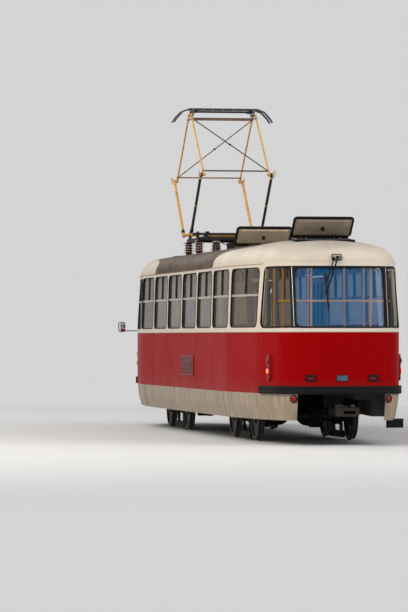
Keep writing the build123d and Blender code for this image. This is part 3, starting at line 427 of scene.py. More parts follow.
def paintedBody(name, roof=False):
    # two colours split by height, road dirt from below, faint rain streaks and panel waviness; on the roof
    # the cream is dirtier, with dust on top, partly painted shade
    mat = material(name, paints["cream"], 0.42, 0.22 if roof else 0.1, 1.3, specular=0.03)
    tree = mat.node_tree
    shader = tree.nodes["Principled BSDF"]
    coords = tree.nodes["Texture Coordinate"].outputs["Object"]
    x, y, z = addNode(tree, "SeparateXYZ", {0: coords}).outputs
    creamNow = tree.nodes["Color Ramp"].outputs["Color"]
    stretch = wire(tree, "Mapping", {"Vector": coords, "Scale": (1.1, 3.2, 2.4) if roof else (5, 5, 0.45)})
    streaks = wire(tree, "TexNoise", {"Vector": stretch, "Scale": 3, "Detail": 7})

    def smooth(value, low, high, first, last):
        sockets = {"Value": value, "From Min": low, "From Max": high, "To Min": first, "To Max": last}
        return wire(tree, "MapRange", sockets, interpolation_type="SMOOTHSTEP")

    def dustedAndShaded(colour, low, high, most, dustAndShade):
        rise = wire(tree, "MapRange", {"Value": z, "From Min": low, "From Max": high, "To Max": most})
        return mixColour(tree, sums(tree, "MULTIPLY", rise, streaks), colour, dustAndShade)
    if roof:
        # grey walkway on top, with a rounded edge to the cream ends; dust and painted shade darken the
        # flatter top of those
        reach = smooth(sums(tree, "ABSOLUTE", y), 0.8, 1.2, 5.05, 2.95)
        edge = sums(tree, "MULTIPLY", sums(tree, "SUBTRACT", reach, sums(tree, "ABSOLUTE", x)), 60,
                    clamp=True)
        soot = ramp(tree, streaks, toned(paints["roofGrey"], 0.55), toned(paints["roofGrey"], 1.4),
                    (0.35, 0.68))
        colour = mixColour(tree, edge, dustedAndShaded(creamNow, 2.86, 3.06, 0.85, (0.2, 0.175, 0.155)), soot)
    else:
        line = smooth(x, 6.45, 6.62, 1.664, 1.529)
        mask = sums(tree, "MULTIPLY", sums(tree, "SUBTRACT", z, line), 400, clamp=True)
        redNow = ramp(tree, streaks, toned(paints["red"], 0.86), paints["red"])
        colour = dustedAndShaded(mixColour(tree, mask, redNow, creamNow), 0.98, 0.72, 0.3, (0.16, 0.1, 0.07))
    tree.links.new(colour, shader.inputs["Base Color"])
    wave = wire(tree, "TexNoise", {"Vector": coords, "Scale": 1.7, "Detail": 1})
    tree.links.new(wire(tree, "Bump", {"Height": wave, "Strength": 0.25, "Distance": 0.02}),
                   shader.inputs["Normal"])
    return mat


def windowGlass(name, tintAndPaintedReflection, clear, edgePaintedReflection=None, edgeFrom=0, gloss=1):
    # a pane that lets part of the light straight through and mirrors the rest
    mat = bpy.data.materials.new(name)
    mat.use_nodes = True
    tree = mat.node_tree
    shader = tree.nodes["Principled BSDF"]
    coords = addNode(tree, "TexCoord", {}).outputs["Object"]
    noise = wire(tree, "TexNoise", {"Vector": coords, "Scale": 1.6, "Detail": 5})
    colour = ramp(tree, noise, tintAndPaintedReflection, toned(tintAndPaintedReflection, 1.25), (0, 1))
    if edgePaintedReflection:
        # the panes round the corners carry a browner painted reflection than the middle one
        y = addNode(tree, "SeparateXYZ", {0: coords}).outputs["Y"]
        over = sums(tree, "GREATER_THAN", sums(tree, "ABSOLUTE", y), edgeFrom)
        colour = mixColour(tree, over, colour, ramp(tree, noise, edgePaintedReflection, toned(edgePaintedReflection, 1.4), (0, 1)))
    tree.links.new(colour, shader.inputs["Base Color"])
    spread = wire(tree, "MapRange", {"Value": noise, "To Min": 0.1, "To Max": 0.03})
    tree.links.new(spread, shader.inputs["Roughness"])
    for socket, value in (("Coat Weight", gloss), ("Specular IOR Level", 0.2), ("Coat Roughness", 0.02),
                          ("Alpha", 1 - clear)):
        shader.inputs[socket].default_value = value


paintedBody("bodyPaint")
paintedBody("roofPaint", roof=True)
# name: colour, roughness, dirt, scale of the dirt, and what else it takes
looks = {
    # the skirts' cream paint is darkened here, partly by dirt and partly as painted shade
    "skirtPaint": ((0.36, 0.28, 0.2), 0.45, 0.4, 1.8, {"streak": True, "specular": 0.3}),
    "blackPaint": ((0.014, 0.014, 0.015), 0.55, 0.4, 5, {"grain": 0.15, "specular": 0.18}),
    "ventPaint": ((0.26, 0.002, 0.003), 0.42, 0.5, 5, {"grain": 0.1, "specular": 0.25}),
    "rubber": ((0.0066, 0.0066, 0.0066), 0.62, 0.3, 8, {"grain": 0.2, "specular": 0.14}),
    "underPaint": ((0.0175, 0.0155, 0.014), 0.75, 0.5, 4, {"grain": 0.3, "specular": 0.15}),
    "bogieIron": ((0.03, 0.0225, 0.018), 0.7, 0.55, 5, {"metal": 0.15, "grain": 0.5, "specular": 0.2}),
    "wheelSteel": ((0.055, 0.0413, 0.0319), 0.55, 0.5, 7, {"metal": 0.7, "grain": 0.35}),
    "brightSteel": ((0.42, 0.41, 0.4), 0.3, 0.3, 12, {"metal": 1, "grain": 0.1}),
    "aluminium": ((0.5, 0.49, 0.47), 0.36, 0.25, 9, {"metal": 1}),
    "armYellow": (paints["yellow"], 0.4, 0.45, 9, {"grain": 0.12, "coat": 0.2}),
    # the rear lower arms carry the same yellow paint as the front ones; this near-black colour is painted
    # shade
    "armDark": ((0.03, 0.018, 0.013), 0.5, 0.5, 9, {"grain": 0.15}),
    "armRust": ((0.2, 0.075, 0.022), 0.5, 0.5, 9, {"grain": 0.15}),
    # the handrails glow a little though they are no lamps: painted light
    "railYellow": ((0.9, 0.52, 0.05), 0.28, 0.2, 6, {"coat": 0.4, "glow": (1, 0.46, 0.03, 0.3)}),
    "darkSteel": ((0.055, 0.052, 0.05), 0.42, 0.35, 9, {"metal": 0.75}),
    "seatCloth": ((0.05, 0.045, 0.042), 0.85, 0.3, 14, {"grain": 0.5}),
    "lampCover": ((0.78, 0.76, 0.7), 0.35, 0.1, 3, {"glow": (1, 0.9, 0.74, 1)}),
    "seatRed": ((0.3, 0.012, 0.012), 0.42, 0.25, 9, {"coat": 0.1}),
    "floorVinyl": ((0.062, 0.056, 0.05), 0.6, 0.4, 5, {"grain": 0.25}),
    "innerPanel": ((0.42, 0.34, 0.25), 0.5, 0.15, 4, {}),
    "deskGrey": ((0.11, 0.12, 0.125), 0.5, 0.3, 8, {"grain": 0.3}),
    "ceramic": ((0.1, 0.032, 0.016), 0.2, 0.3, 14, {"coat": 0.5}),
    "carbon": ((0.03, 0.03, 0.032), 0.42, 0.4, 15, {"metal": 0.4, "grain": 0.2}),
    "blankWhite": ((0.46, 0.46, 0.43), 0.4, 0.2, 6, {}),
    "plateBlue": ((0.075, 0.115, 0.165), 0.4, 0.45, 10, {"specular": 0.2}),
    "redLens": ((0.25, 0.004, 0.005), 0.15, 0.15, 20, {"coat": 0.25, "specular": 0.2}),
    "litLens": ((0.9, 0.08, 0.03), 0.2, 0.1, 20, {"coat": 0.2, "glow": (1, 0.11, 0.03, 2.8)}),
    "amberLens": ((0.55, 0.17, 0.02), 0.15, 0.15, 20, {"coat": 0.6}),
    "mirrorGlass": ((0.75, 0.77, 0.78), 0.03, 0.05, 3, {"metal": 1}),
    "chrome": ((0.62, 0.62, 0.61), 0.12, 0.15, 14, {"metal": 1}),
    "lampGlass": ((0.8, 0.8, 0.76), 0.08, 0.1, 30, {"coat": 0.8}),
}
for name, (colour, rough, dirt, scale, more) in looks.items():
    material(name, colour, rough, dirt, scale, **more)
windowGlass("sideGlass", (0.04, 0.02, 0.008), 0.47, gloss=0.16)
# the blue of the rear and front panes and the brown of the rear corner panes are painted reflections
windowGlass("rearGlass", (0.001, 0.092, 0.24), 0.66, (0.022, 0.012, 0.005), 0.7, gloss=0.35)
windowGlass("frontGlass", (0.028, 0.085, 0.18), 0.52)

# Hatch lids: the place of each hinge, the slope of the roof there in degrees, the paint over, and a colour
# under that holds painted light, brighter on the middle lid than on the rear
lid = {"long": 0.42, "half": 0.46, "front": 0.014, "round": 0.055, "low": 3.0863, "thick": 0.042,
       "axisZ": 3.12, "open": 42, "frame": 0.03, "paintUnder": 0.022}
hatches = {"rear": {"hinge": -5.37, "tilt": 4.4, "over": paints["cream"], "under": (0.4, 0.33, 0.26)},
           "middle": {"hinge": -0.545, "tilt": 0, "over": paints["roofGrey"], "under": (0.74, 0.6, 0.42)}}
tiltSin, tiltCos = math.sin(math.radians(lid["open"])), math.cos(math.radians(lid["open"]))
for label, hatch in hatches.items():
    level = (hatch["hinge"] + 0.004) * tiltSin + lid["axisZ"] * tiltCos - lid["paintUnder"]
    splitMaterial(f"hatch_lid_{label}Finish", hatch["under"], hatch["over"], (tiltSin, 0, tiltCos), level,
                  0.5)
splitMaterial("windowBarFinish", (0.42, 0.38, 0.32), (0.022, 0.02, 0.018), (0, 0, 1), 2.2405, 0.4,
              metal=0.3)
# the middle of each upper arm frame has the same yellow paint, darkened as painted shade: brown on the
# front frame, near black on the rear
for name, colour in (("upperFrontFinish", (0.26, 0.1, 0.022)), ("upperRearFinish", (0.045, 0.028, 0.02))):
    splitMaterial(name, colour, paints["yellow"], (0, 1, 0), 0.546, absolute=True)

# Finish of every CAD node, by the start of its name
finishes = {"bodyPaint": "side_wall end_wall door_", "roofPaint": "roof_shell destination_box",
            "skirtPaint": "skirts", "sideGlass": "side_glazing", "rearGlass": "rear_window",
            "frontGlass": "windscreen", "rubber": "bumpers", "windowBarFinish": "window_bars",
            "underPaint": "underframe underfloor_boxes", "floorVinyl": "step_wells",
            "seatRed": "seats driver_seat", "deskGrey": "driver_desk", "innerPanel": "cab_partition",
            "railYellow": "handrails", "blackPaint": "wipers mirrors pantograph_base roof_equipment",
            "ventPaint": "side_vent corner_lamps", "redLens": "reflectors", "lampGlass": "headlamps",
            "bogieIron": "coupler track_brakes bogie_frame traction_motors", "wheelSteel": "wheelset",
            "armYellow": "lower_arm_front", "armDark": "lower_arm_rear", "carbon": "collector_head",
            "upperFrontFinish": "upper_arm_front", "upperRearFinish": "upper_arm_rear",
            "hatch_lid_rearFinish": "hatch_lid_rear", "hatch_lid_middleFinish": "hatch_lid_middle"}
for finish, starts in finishes.items():
    for name, node in nodes.items():
        if name.startswith(tuple(starts.split())):
            if not node.material_slots:
                node.data.materials.append(None)
            for place in node.material_slots:
                place.material = bpy.data.materials[finish]
print("materials set")

# Windows: rubber round every opening, black covers on the end posts, light strips on them
windows = {"low": 1.749, "sideHigh": 2.622, "endHigh": 2.617, "round": 0.09, "frontRound": 0.15,
           "rearRound": 0.08, "sideSeal": 0.013, "endSeal": 0.024, "proud": 0.005, "lip": 0.004,
           "deep": 0.02, "postY": 0.7, "postHalf": 0.031, "endX": 6.09, "fill": 0.1, "fillOver": 0.022}
bayEdges = [-6, -4.45, -2.9666, -1.4833, 0, 1.4833, 2.9666, 4.45, 6]
leftBays = [(a + 0.08, b - 0.08) for a, b in zip(bayEdges, bayEdges[1:])]
rightBays = [bay for i, bay in enumerate(leftBays) if i not in (0, 4, 7)]
doorBays = {1: (4.53, 5.92), 2: (0.08, 1.4033), 3: (-5.92, -4.53)}


def cornerLoop(end, hand, out, grow):
    w = windows
    near, far = w["postY"] + w["postHalf"], w["endX"]
    long = runAt(2.2, far) - wallPoint(2.2, y=near)[2]
    flat, plain = [roundedLoop((0, long, w["low"], w["endHigh"]),
                               [0.004, w["round"] + g, w["round"] + g, 0.004], g) for g in (grow, 0)]
    points = []
    for u, z in denser(flat, 0.1, plain):
        first, last = wallPoint(z, y=near)[2], runAt(z, far)
        points.append(wallPoint(z, out, reach=first + (last - first) * u / long, end=end, hand=hand)[0])
    return points


def addSeal(loopAt, width):
    proud, lip = windows["proud"], windows["lip"]
    addLoops([loopAt(out, grow) for out, grow in ((-0.001, width), (proud, width - 0.003),
                                                  (proud + 0.002, width * 0.45), (proud, 0.002 - lip),
                                                  (-windows["deep"], -lip))])


for side, bays in ((1, leftBays), (-1, rightBays)):
    for bay in bays:
        rect = (*bay, windows["low"], windows["sideHigh"])
        addSeal(lambda out, grow: wallLoop(sideSpot, side, rect, windows["round"], out, grow, 0.25),
                windows["sideSeal"])
newPiece("sideWindowSeals", "rubber")
half = windows["postY"] - windows["postHalf"]
rect = (-half, half, windows["low"], windows["endHigh"])
for end, radius in ((1, windows["frontRound"]), (-1, windows["rearRound"])):
    addSeal(lambda out, grow: wallLoop(endSpot, end, rect, radius, out, grow, 0.13), windows["endSeal"])
    for hand in (1, -1):
        addSeal(lambda out, grow: cornerLoop(end, hand, out, grow), windows["endSeal"])
        for y0, y1, over, outs, slot in ((0.664, 0.736, 0.016, (0, 0.0075), 0),
                                         (0.6975, 0.7025, 0, (0.0075, 0.01), 1)):
            low, high = windows["low"] - over, windows["endHigh"] + over
            flat = denser([(y0, low), (y1, low), (y1, high), (y0, high)], 0.3)
            laid(endSpot, end, [(hand * y, z) for y, z in flat], outs, slot)
        # the rear panes read as one long window: rubber fills the corners beside the posts
        for edge, way in ((windows["endHigh"], 1), (windows["low"], -1)) if end < 0 else ():
            outer, post, fill = edge + way * windows["fillOver"], windows["postY"], windows["fill"]
            flat = [(hand * post, outer), (hand * (post - fill), outer), (hand * post, outer - way * fill)]
            laid(endSpot, end, flat, (0, 0.0045))
newPiece("endWindowSeals", "rubber aluminium")
print("windows sealed")

# Body trim: cover strips on the panel joints, the bead on the colour line, bumper ribs
trim = {"strip": 0.008, "stripOut": 0.0015, "stripLow": 0.772, "stripHigh": 1.656, "bead": 0.006,
        "beadZ": 1.668, "ribs": (0.787, 0.853), "ribR": 0.009}
fullRun = runAt(1, 0)
for side, skip in ((1, ()), (-1, (0, 1, 4, 5, 7, 8))):
    for x in [x for i, x in enumerate(bayEdges) if i not in skip]:
        x0, x1, low, high = x - trim["strip"], x + trim["strip"], trim["stripLow"], trim["stripHigh"]
        flat = denser([(x0, low), (x1, low), (x1, high), (x0, high)], 0.3)
        laid(sideSpot, side, flat, (-0.001, trim["stripOut"]))
newPiece("panelStrips", "bodyPaint")
z = trim["beadZ"]
doorEdge, mid, nose, tail = runAt(z, 4.52), fullRun - 0.01, runAt(z, 6.5), runAt(z, 5.93)
for parts in ([(-1, -1, tail, 0), (-1, 1, 0, mid), (1, 1, mid, nose)], [(-1, -1, fullRun - 0.08, doorEdge)],
              [(1, -1, doorEdge, fullRun - 1.41)], [(1, -1, tail, nose)]):
    addTube(runPath(z, 0.001, parts), trim["bead"], fine=1)
newPiece("waistBead", "skirtPaint")
for end in (1, -1):
    for z in trim["ribs"]:
        reach = runAt(z, 6.12)
        addTube(runPath(z, 0.036, [(end, -1, reach, 0), (end, 1, 0, reach)]), trim["ribR"], fine=1)
newPiece("bumperRibs", "rubber")

# Skirt doors: joints between the panels and a turn latch near each
skirtJoints = {1: [-5.3, -4, -2.4, -0.8, 0.8, 2.4, 4, 5.3], -1: [-3.7, -2.2, -0.7, 2.2, 3.5]}
latch = {"z": 0.7, "off": 0.12, "halves": (0.012, 0.003, 0.003),
         "profile": [(0, 0.006), (0.016, 0.005), (0.019, 0), (0.019, -0.004), (0, -0.004)]}
for side, places in skirtJoints.items():
    for x in places:
        for off in (-0.006, 0.006):
            addTube([sideSpot(side, x + off, z, 0.0015)[0] for z in (0.385, 0.48, 0.572, 0.66, 0.752)],
                    0.0025, fine=1)
        spot = sideSpot(side, x + latch["off"], latch["z"])
        turnAt(spot, latch["profile"], 16, 1)
        addLump(spot[0] + spot[1] * 0.006, latch["halves"], 0.001, 1)
newPiece("skirtJoints", "skirtPaint brightSteel")
print("trim done")

# Rear face: slots with a lip, blank plate, lamp lenses, reflector rings, mud flap
rear = {"slotY": 0.465, "slotZ": 0.992, "slotWide": 0.168, "slotHigh": 0.092, "plateWide": 0.166,
        "plateHigh": 0.082, "stopZ": 1.092, "tailZ": 1.245, "lampR": 0.037, "lampOut": 0.031,
        "ringY": 0.708, "ringZ": 0.689, "flap": ((-6.62, -1, 0.255), (-6.605, -0.74, 0.385)),
        "flapTop": ((-6.63, -1, 0.355), (-6.6, -0.74, 0.392))}


def rearPatch(y, wide, high, radius, out0, out1, slot, hole=0):
    # a plate on the rear face at the height of the slots, or a ring where it has a hole
    rect = (y - wide / 2, y + wide / 2, rear["slotZ"] - high / 2, rear["slotZ"] + high / 2)
    rows = ((out0, 0), (out1, 0), (out1 + 0.001, -0.0015))
    if hole:
        rows = ((out0, 0), (out1, -0.001), (out1, -hole), (out0, -hole - 0.001))
    addLoops([wallLoop(endSpot, -1, rect, radius, out, grow, steps=4) for out, grow in rows], slot,
             bool(hole))


def domed(radius, share=1):
    dome = [(0, 0.02), (0.55, 0.0185), (0.85, 0.013), (0.97, 0.007), (1, 0), (1, -0.006), (0, -0.006)]
    return [(r * radius, h * share) for r, h in dome]


wide, high = rear["slotWide"], rear["slotHigh"]
for y in (-rear["slotY"], rear["slotY"]):
    rearPatch(y, wide - 0.01, high - 0.01, 0.012, -0.001, 0.002, 0)
    rearPatch(y, wide, high, 0.03, -0.001, 0.014, 1, 0.026)
    side = 1 if y > 0 else -1
    addTube([endSpot(-1, y + side * d, rear["slotZ"] + 0.043, 0.012)[0] for d in (-0.075, 0, 0.075)], 0.007,
            1)
wide, high = rear["plateWide"], rear["plateHigh"]
rearPatch(0, wide, high, 0.006, -0.001, 0.005, 2)
rearPatch(0, wide + 0.014, high + 0.014, 0.01, -0.001, 0.007, 1, 0.008)
newPiece("rearSlots", "ventPaint rubber plateBlue")
lampRing = [(0.036, 0), (0.037, 0.008), (0.043, 0.006), (0.045, -0.003), (0.036, -0.003), (0.036, 0)]
screw = [(0, 0.003), (0.005, 0.0025), (0.006, 0), (0, -0.002)]
for hand in (1, -1):
    for end, z, slot in ((-1, rear["stopZ"], 0), (-1, rear["tailZ"], 1), (1, 1.3, 3), (1, 1.12, 1)):
        spot = sideSpot(hand, end * car["lampX"], z, rear["lampOut"])
        turnAt(spot, domed(rear["lampR"]), 28, slot)
        if end < 0:
            turnAt(spot, lampRing, 28, 2)
    for z in (1.175, 1.32, 0.972):
        turnAt(sideSpot(hand, -car["lampX"], z, 0.03), screw, 10, 4)
newPiece("cornerLenses", "litLens redLens blackPaint amberLens brightSteel")
reflectorRing = [(0.041, 0), (0.043, 0.01), (0.056, 0.008), (0.06, -0.004), (0.041, -0.004), (0.041, 0)]
for hand in (1, -1):
    spot = endSpot(-1, hand * rear["ringY"], rear["ringZ"], 0.008)
    turnAt(spot, reflectorRing, 30, 0)
    turnAt(spot, domed(0.0405, 0.45), 30, 1)
addBlock(*rear["flap"], 0.004, 2)
addBlock(*rear["flapTop"], 0.004, 0)
newPiece("rearReflectors", "blackPaint redLens rubber")
print("rear face done")


# Hatch lids: rubber frame round the edge, bolts and a pull knob on the underside
def lidPlace(hinge, angle):
    pivot = Matrix.Translation((hinge + 0.004, 0, lid["axisZ"]))
    return pivot @ Matrix.Rotation(math.radians(angle), 4, "Y") @ pivot.inverted()


def lidLoops(place, rect, radius, section, steps=6):
    addLoops([[place @ Vector((x, y, z)) for x, y in roundedLoop(rect, radius, grow, steps)]
              for grow, z in section])


knob = [(0, 0.052), (0.014, 0.051), (0.021, 0.044), (0.021, 0.034), (0.018, 0.026), (0.018, 0.01),
        (0.03, 0.003), (0.032, 0), (0, 0)]
lidBolt = [(0, 0.008), (0.007, 0.007), (0.009, 0), (0, 0)]
low, high, frameWide = lid["low"], lid["low"] + lid["thick"], lid["frame"]
for label, hatch in hatches.items():
    hinge, place = hatch["hinge"], lidPlace(hatch["hinge"], lid["open"])
    # the rubber under the edge is thin enough for the seat that the lid shuts on
    lidLoops(place, (hinge - lid["long"], hinge - lid["front"], -lid["half"], lid["half"]), lid["round"],
             ((0.001, high - 0.012), (0.004, high - 0.016), (0.004, low - 0.00008),
              (-frameWide, low - 0.00008), (-frameWide, low + 0.001)))
    down = place.to_3x3() @ Vector((0, 0, -1))
    addTurned(knob, place @ Vector((hinge - lid["long"] / 2, 0, low - 0.012)), 24, 0, down)
    for x in (-0.37, -0.06):
        for y in (0.4, -0.4):
            addTurned(lidBolt, place @ Vector((hinge + x, y, low)), 12, 2, down)
    newPiece("hatchTrim_" + label, "rubber darkSteel brightSteel", "hatch_lid_" + label)
for hatch in hatches.values():
    hinge, place = hatch["hinge"], lidPlace(hatch["hinge"], -hatch["tilt"])
    addBlock((hinge + 0.022, -0.44, 3.03), (hinge + 0.034, 0.44, 3.122), 0.004)
    # a black band round the upstand, part seal and part painted shade under the lid, and a lining in the
    # opening
    rect = (hinge - lid["long"] + 0.012, hinge - 0.012, -lid["half"] + 0.012, lid["half"] - 0.012)
    for section in (((0.005, 3.03), (0.005, 3.0835), (0.003, 3.085), (-0.001, 3.085), (-0.001, 3.03)),
                    ((-0.0245, 3.0852), (-0.0275, 3.0852), (-0.0275, 2.995), (-0.0245, 2.995))):
        lidLoops(place, rect, [0.003] * 4, section, 3)
newPiece("hatchSealsAndShade", "rubber")
print("hatches done")

# Wipers: a motor cap, two arms and a blade with its spring bow
wiper = {"armR": 0.0115, "linkR": 0.009, "bladeR": 0.01, "holderR": 0.009, "joint": (0.014, 0.019, 0.045),
         "hub": [(0, 0.058), (0.012, 0.056), (0.016, 0.046), (0.016, 0.026), (0.022, 0.02), (0.024, 0),
                 (0.024, -0.006), (0, -0.006)]}


def addWiper(end, pivot, arm, lowEnd, highEnd, link=(0.018, 0), linkTo=(0.011, 0)):
    # places are (y, z) on the wall; the link runs beside the arm
    def on(y, z, out):
        return endSpot(end, y, z, out)[0]

    def between(a, b, t):
        return a[0] + (b[0] - a[0]) * t, a[1] + (b[1] - a[1]) * t
    linkFrom, linkEnd = (pivot[0] + link[0], pivot[1] + link[1]), (arm[0] + linkTo[0], arm[1] + linkTo[1])
    for start, stop, radius in ((pivot, arm, wiper["armR"]), (linkFrom, linkEnd, wiper["linkR"])):
        turnAt(endSpot(end, *start), wiper["hub"], 20)
        addTube([on(*start, 0.048), on(*between(start, stop, 0.5), 0.058), on(*stop, 0.04)], radius,
                smooth=True)
    spots = [between(lowEnd, highEnd, k / 8) for k in range(9)]
    blade = [on(y, z, 0.016) for y, z in spots]
    holder = [on(*spots[k], 0.026 + 0.014 * math.sin(math.pi * k / 8)) for k in range(1, 8)]
    addTube(blade, wiper["bladeR"])
    addTube(holder, wiper["holderR"])
    for k in (1, 3, 5, 7):
        addRod(blade[k], holder[k - 1], 0.005, 8)
    addLump(on(*arm, 0.036), wiper["joint"], 0.005)


addWiper(-1, (0.025, 2.765), (0.213, 2.25), (0.195, 1.98), (0.2255, 2.527), (0.06, -0.023), (0.006, 0.13))
for s in (1, -1):
    addWiper(1, (s * 0.34, 1.708), (s * 0.6, 1.783), (s * 0.4, 1.765), (s * 0.8, 1.8), (s * 0.018, 0),
             (s * 0.011, 0))
plain = roundedLoop((-0.034, 0.112, 2.722, 2.812), 0.01, steps=3)
flat = denser(plain, 0.05, plain)
inner = denser(roundedLoop((-0.025, 0.103, 2.731, 2.803), 0.004, steps=3), 0.05, plain)
addLoops([[endSpot(-1, y, z, out)[0] for y, z in loop]
          for loop, out in ((flat, -0.002), (flat, 0.024), (inner, 0.024), (inner, -0.002))])
wipersPiece = newPiece("wiperSet", "rubber")
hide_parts("wipers")
print("wipers done")

# Pantograph: sheds, springs, collars, shunts and strips
panto = {"x": 3.2, "baseZ": 3.382, "baseHalf": 0.4, "kneeHalf": 1.42, "kneeZ": 4.36993, "topHalf": 0.12,
         "topZ": 5.46537, "armY": 0.615, "upperY": 0.567, "headY": 0.533, "springY": 0.33, "springZ": 3.352}
boltCap = [(0, 0.01), (0.01, 0.008), (0.011, 0), (0, 0)]
for dx in (-0.54, 0.54):
    for y in (-0.5, 0.5):
        x = panto["x"] + dx
        profile = [(0.049, 0.05)]
        for k in range(4):
            z = 0.062 + 0.042 * k
            profile += [(0.052, z), (0.088, z + 0.01), (0.09, z + 0.015), (0.054, z + 0.026)]
        profile += [(0.052, 0.238), (0.049, 0.24), (0.049, 0.05)]
        addTurned(profile, (x, y, 3), 28, 0)
        addTurned([(0.049, 0), (0.095, 0), (0.095, 0.012), (0.049, 0.014), (0.049, 0)], (x, y, 3.24), 24, 1)
        for k in range(4):
            a = k * math.tau / 4 + 0.78
            addTurned(boltCap, (x + 0.075 * math.cos(a), y + 0.075 * math.sin(a), 3.252), 6, 2)
newPiece("pantographInsulators", "ceramic blackPaint brightSteel")
springEnd = [(0, -0.014), (0.04, -0.012), (0.044, 0), (0.04, 0.012), (0, 0.014)]
for y in (-panto["springY"], panto["springY"]):
    z = panto["springZ"]
    addCoil((2.93, y, z), (3.47, y, z), 0.034, 0.0075, 20)
    addRod((2.66, y, z), (3.74, y, z), 0.009, 10)
    for x in (2.9, 3.5):
        addTurned(springEnd, (x, y, z), 20, 1, (1, 0, 0))
for x, radius in ((2.6, 0.042), (3.8, 0.03)):
    addRod((x, -0.5, 3.288), (x, 0.5, 3.288), radius, 24, 1, 0.006)
for x in (2.74, 3.2, 3.66):
    for y in (-0.5, 0.5):
        addPad(x, y, 3.3, 3.318, 0.035, 0.031, 0.004, 1)
addBlock((2.95, -0.12, 3.27), (3.25, 0.12, 3.33), 0.012, 1)
addRod((2.82, 0, 3.3), (2.96, 0, 3.3), 0.022, 16)
addTube([(2.62, 0.28, 3.27), (2.45, 0.28, 3.24), (2.32, 0.3, 3.17), (2.1, 0.32, 3.13), (1.96, 0.33, 3.17),
         (1.92, 0.33, 3.235)], 0.012, 2, True)
newPiece("pantographSprings", "brightSteel blackPaint rubber")
baseCap = [(0, 0.03), (0.018, 0.029), (0.022, 0.022), (0.04, 0.02), (0.043, 0.012), (0.043, -0.012),
           (0.04, -0.02), (0, -0.021)]
kneeCap = [(0, 0.034), (0.016, 0.033), (0.019, 0.027), (0.034, 0.025), (0.036, 0.018), (0.036, 0.006),
           (0, 0.006)]
shaftCollar = [(0.0245, -0.035), (0.046, -0.033), (0.048, -0.028), (0.048, 0.028), (0.046, 0.033),
               (0.0245, 0.035), (0.0245, -0.035)]
for end, name in ((1, "front"), (-1, "rear")):
    base, knee, top = [(panto["x"] + end * panto[key + "Half"], panto[key + "Z"])
                       for key in ("base", "knee", "top")]
    for hand in (1, -1):
        y = hand * panto["armY"]
        a, b = Vector((base[0], y, base[1])), Vector((knee[0], y, knee[1]))
        for t0, t1, r, slot in ((0.035, 0.085, 0.031, 1), (0.93, 0.965, 0.0272, 0), (0.48, 0.5, 0.0272, 0)):
            addRod(a.lerp(b, t0), a.lerp(b, t1), r, 20, slot, 0.003)
        addTurned(baseCap, a, 24, 0, (0, hand, 0))
        addTurned(kneeCap, b, 24, 0, (0, hand, 0))
        # braided shunt round the knee, fixed at both ends on the lower arm
        s = a.lerp(b, 0.955)
        addTube([s, s + Vector((end * 0.075, hand * 0.03, -0.02))]
                + [b + Vector((end * dx, hand * dy, dz)) for dx, dy, dz in
                   ((0.105, 0.045, 0.01), (0.06, 0.045, 0.085), (-0.01, 0.034, 0.055), (0, 0.034, 0))],
                0.0055, 2, True)
    for y in (-panto["springY"], panto["springY"]):
        addTurned(shaftCollar, (base[0], y, base[1]), 24, 1, (0, 1, 0))
        addPad(base[0], y, base[1] - 0.055, base[1] - 0.03, 0.012, 0.01, 0.003, 1)
    newPiece("lowerArmFittings_" + name, "armYellow blackPaint brightSteel", "lower_arm_" + name)
    for hand in (1, -1):
        y = hand * panto["upperY"]
        a, b = Vector((knee[0], y, knee[1])), Vector((top[0], y, top[1]))
        for t0, t1 in ((0.045, 0.075), (0.925, 0.955), (0.5, 0.515)):
            addRod(a.lerp(b, t0), a.lerp(b, t1), 0.0182, 16, 0, 0.002)
        for t in (0.06, 0.94):
            addLump(a.lerp(b, t), (0.016, 0.0185, 0.016), 0.004, 1)
    addLump(((knee[0] + top[0]) / 2, 0, (knee[1] + top[1]) / 2), (0.014, 0.022, 0.014), 0.004, 1)
    newPiece("upperArmFittings_" + name, "armYellow blackPaint", "upper_arm_" + name)
x0, y0, z0 = panto["x"], panto["headY"], panto["topZ"]
for end in (1, -1):
    x = x0 + end * panto["topHalf"]
    for off in (-0.0235, 0.0235):
        addPad(x + off, 0, z0 + 0.09, z0 + 0.1135, 0.0025, 0.6, 0.001, 0)
    for k in range(7):
        addPad(x, -0.54 + 0.18 * k, z0 + 0.086, z0 + 0.0935, 0.028, 0.009, 0.002, 1)
    for hand in (1, -1):
        y = hand * y0
        addCoil((x, y, z0 + 0.016), (x, y, z0 + 0.088), 0.019, 0.004, 6, 1)
        addPad(x, y, z0 + 0.045, z0 + 0.075, 0.02, 0.026, 0.005, 2)
        addRod((x, hand * 0.45, z0 + 0.06), (x, hand * 0.51, z0 + 0.06), 0.019, 16, 2, 0.003)
for hand in (1, -1):
    for dx in (-0.135, 0.135, 0):
        addTurned([(0, 0.014), (0.008, 0.013), (0.011, 0.006), (0, 0.006)], (x0 + dx, hand * y0, z0), 6, 1,
                  (0, hand, 0))
newPiece("headFittings", "carbon brightSteel blackPaint", "collector_head")
print("pantograph done")


# Roof gear: arrester sheds, fuse box ribs, copper links and walkway battens
roofKit = {"posts": ((1.9, 0.33, 0.06, 3.23), (1.62, -0.32, 0.045, 3.16)), "foot": 3.06,
           "ribFrom": 1.481, "ribStep": 0.06, "ribs": 6, "battens": (-4.2, -3.1, -2, 0.3, 4.4),
           "battenY": 0.62, "plug": (-6.4205, -0.55, 2.884), "joints": (-4.9, -2.97, -1.5, 0.9, 2.35, 4.9)}


def sagAt(y):
    # how far the crowned roof lies below its top
    return car["crown"] - math.sqrt(car["crown"] ** 2 - y * y)


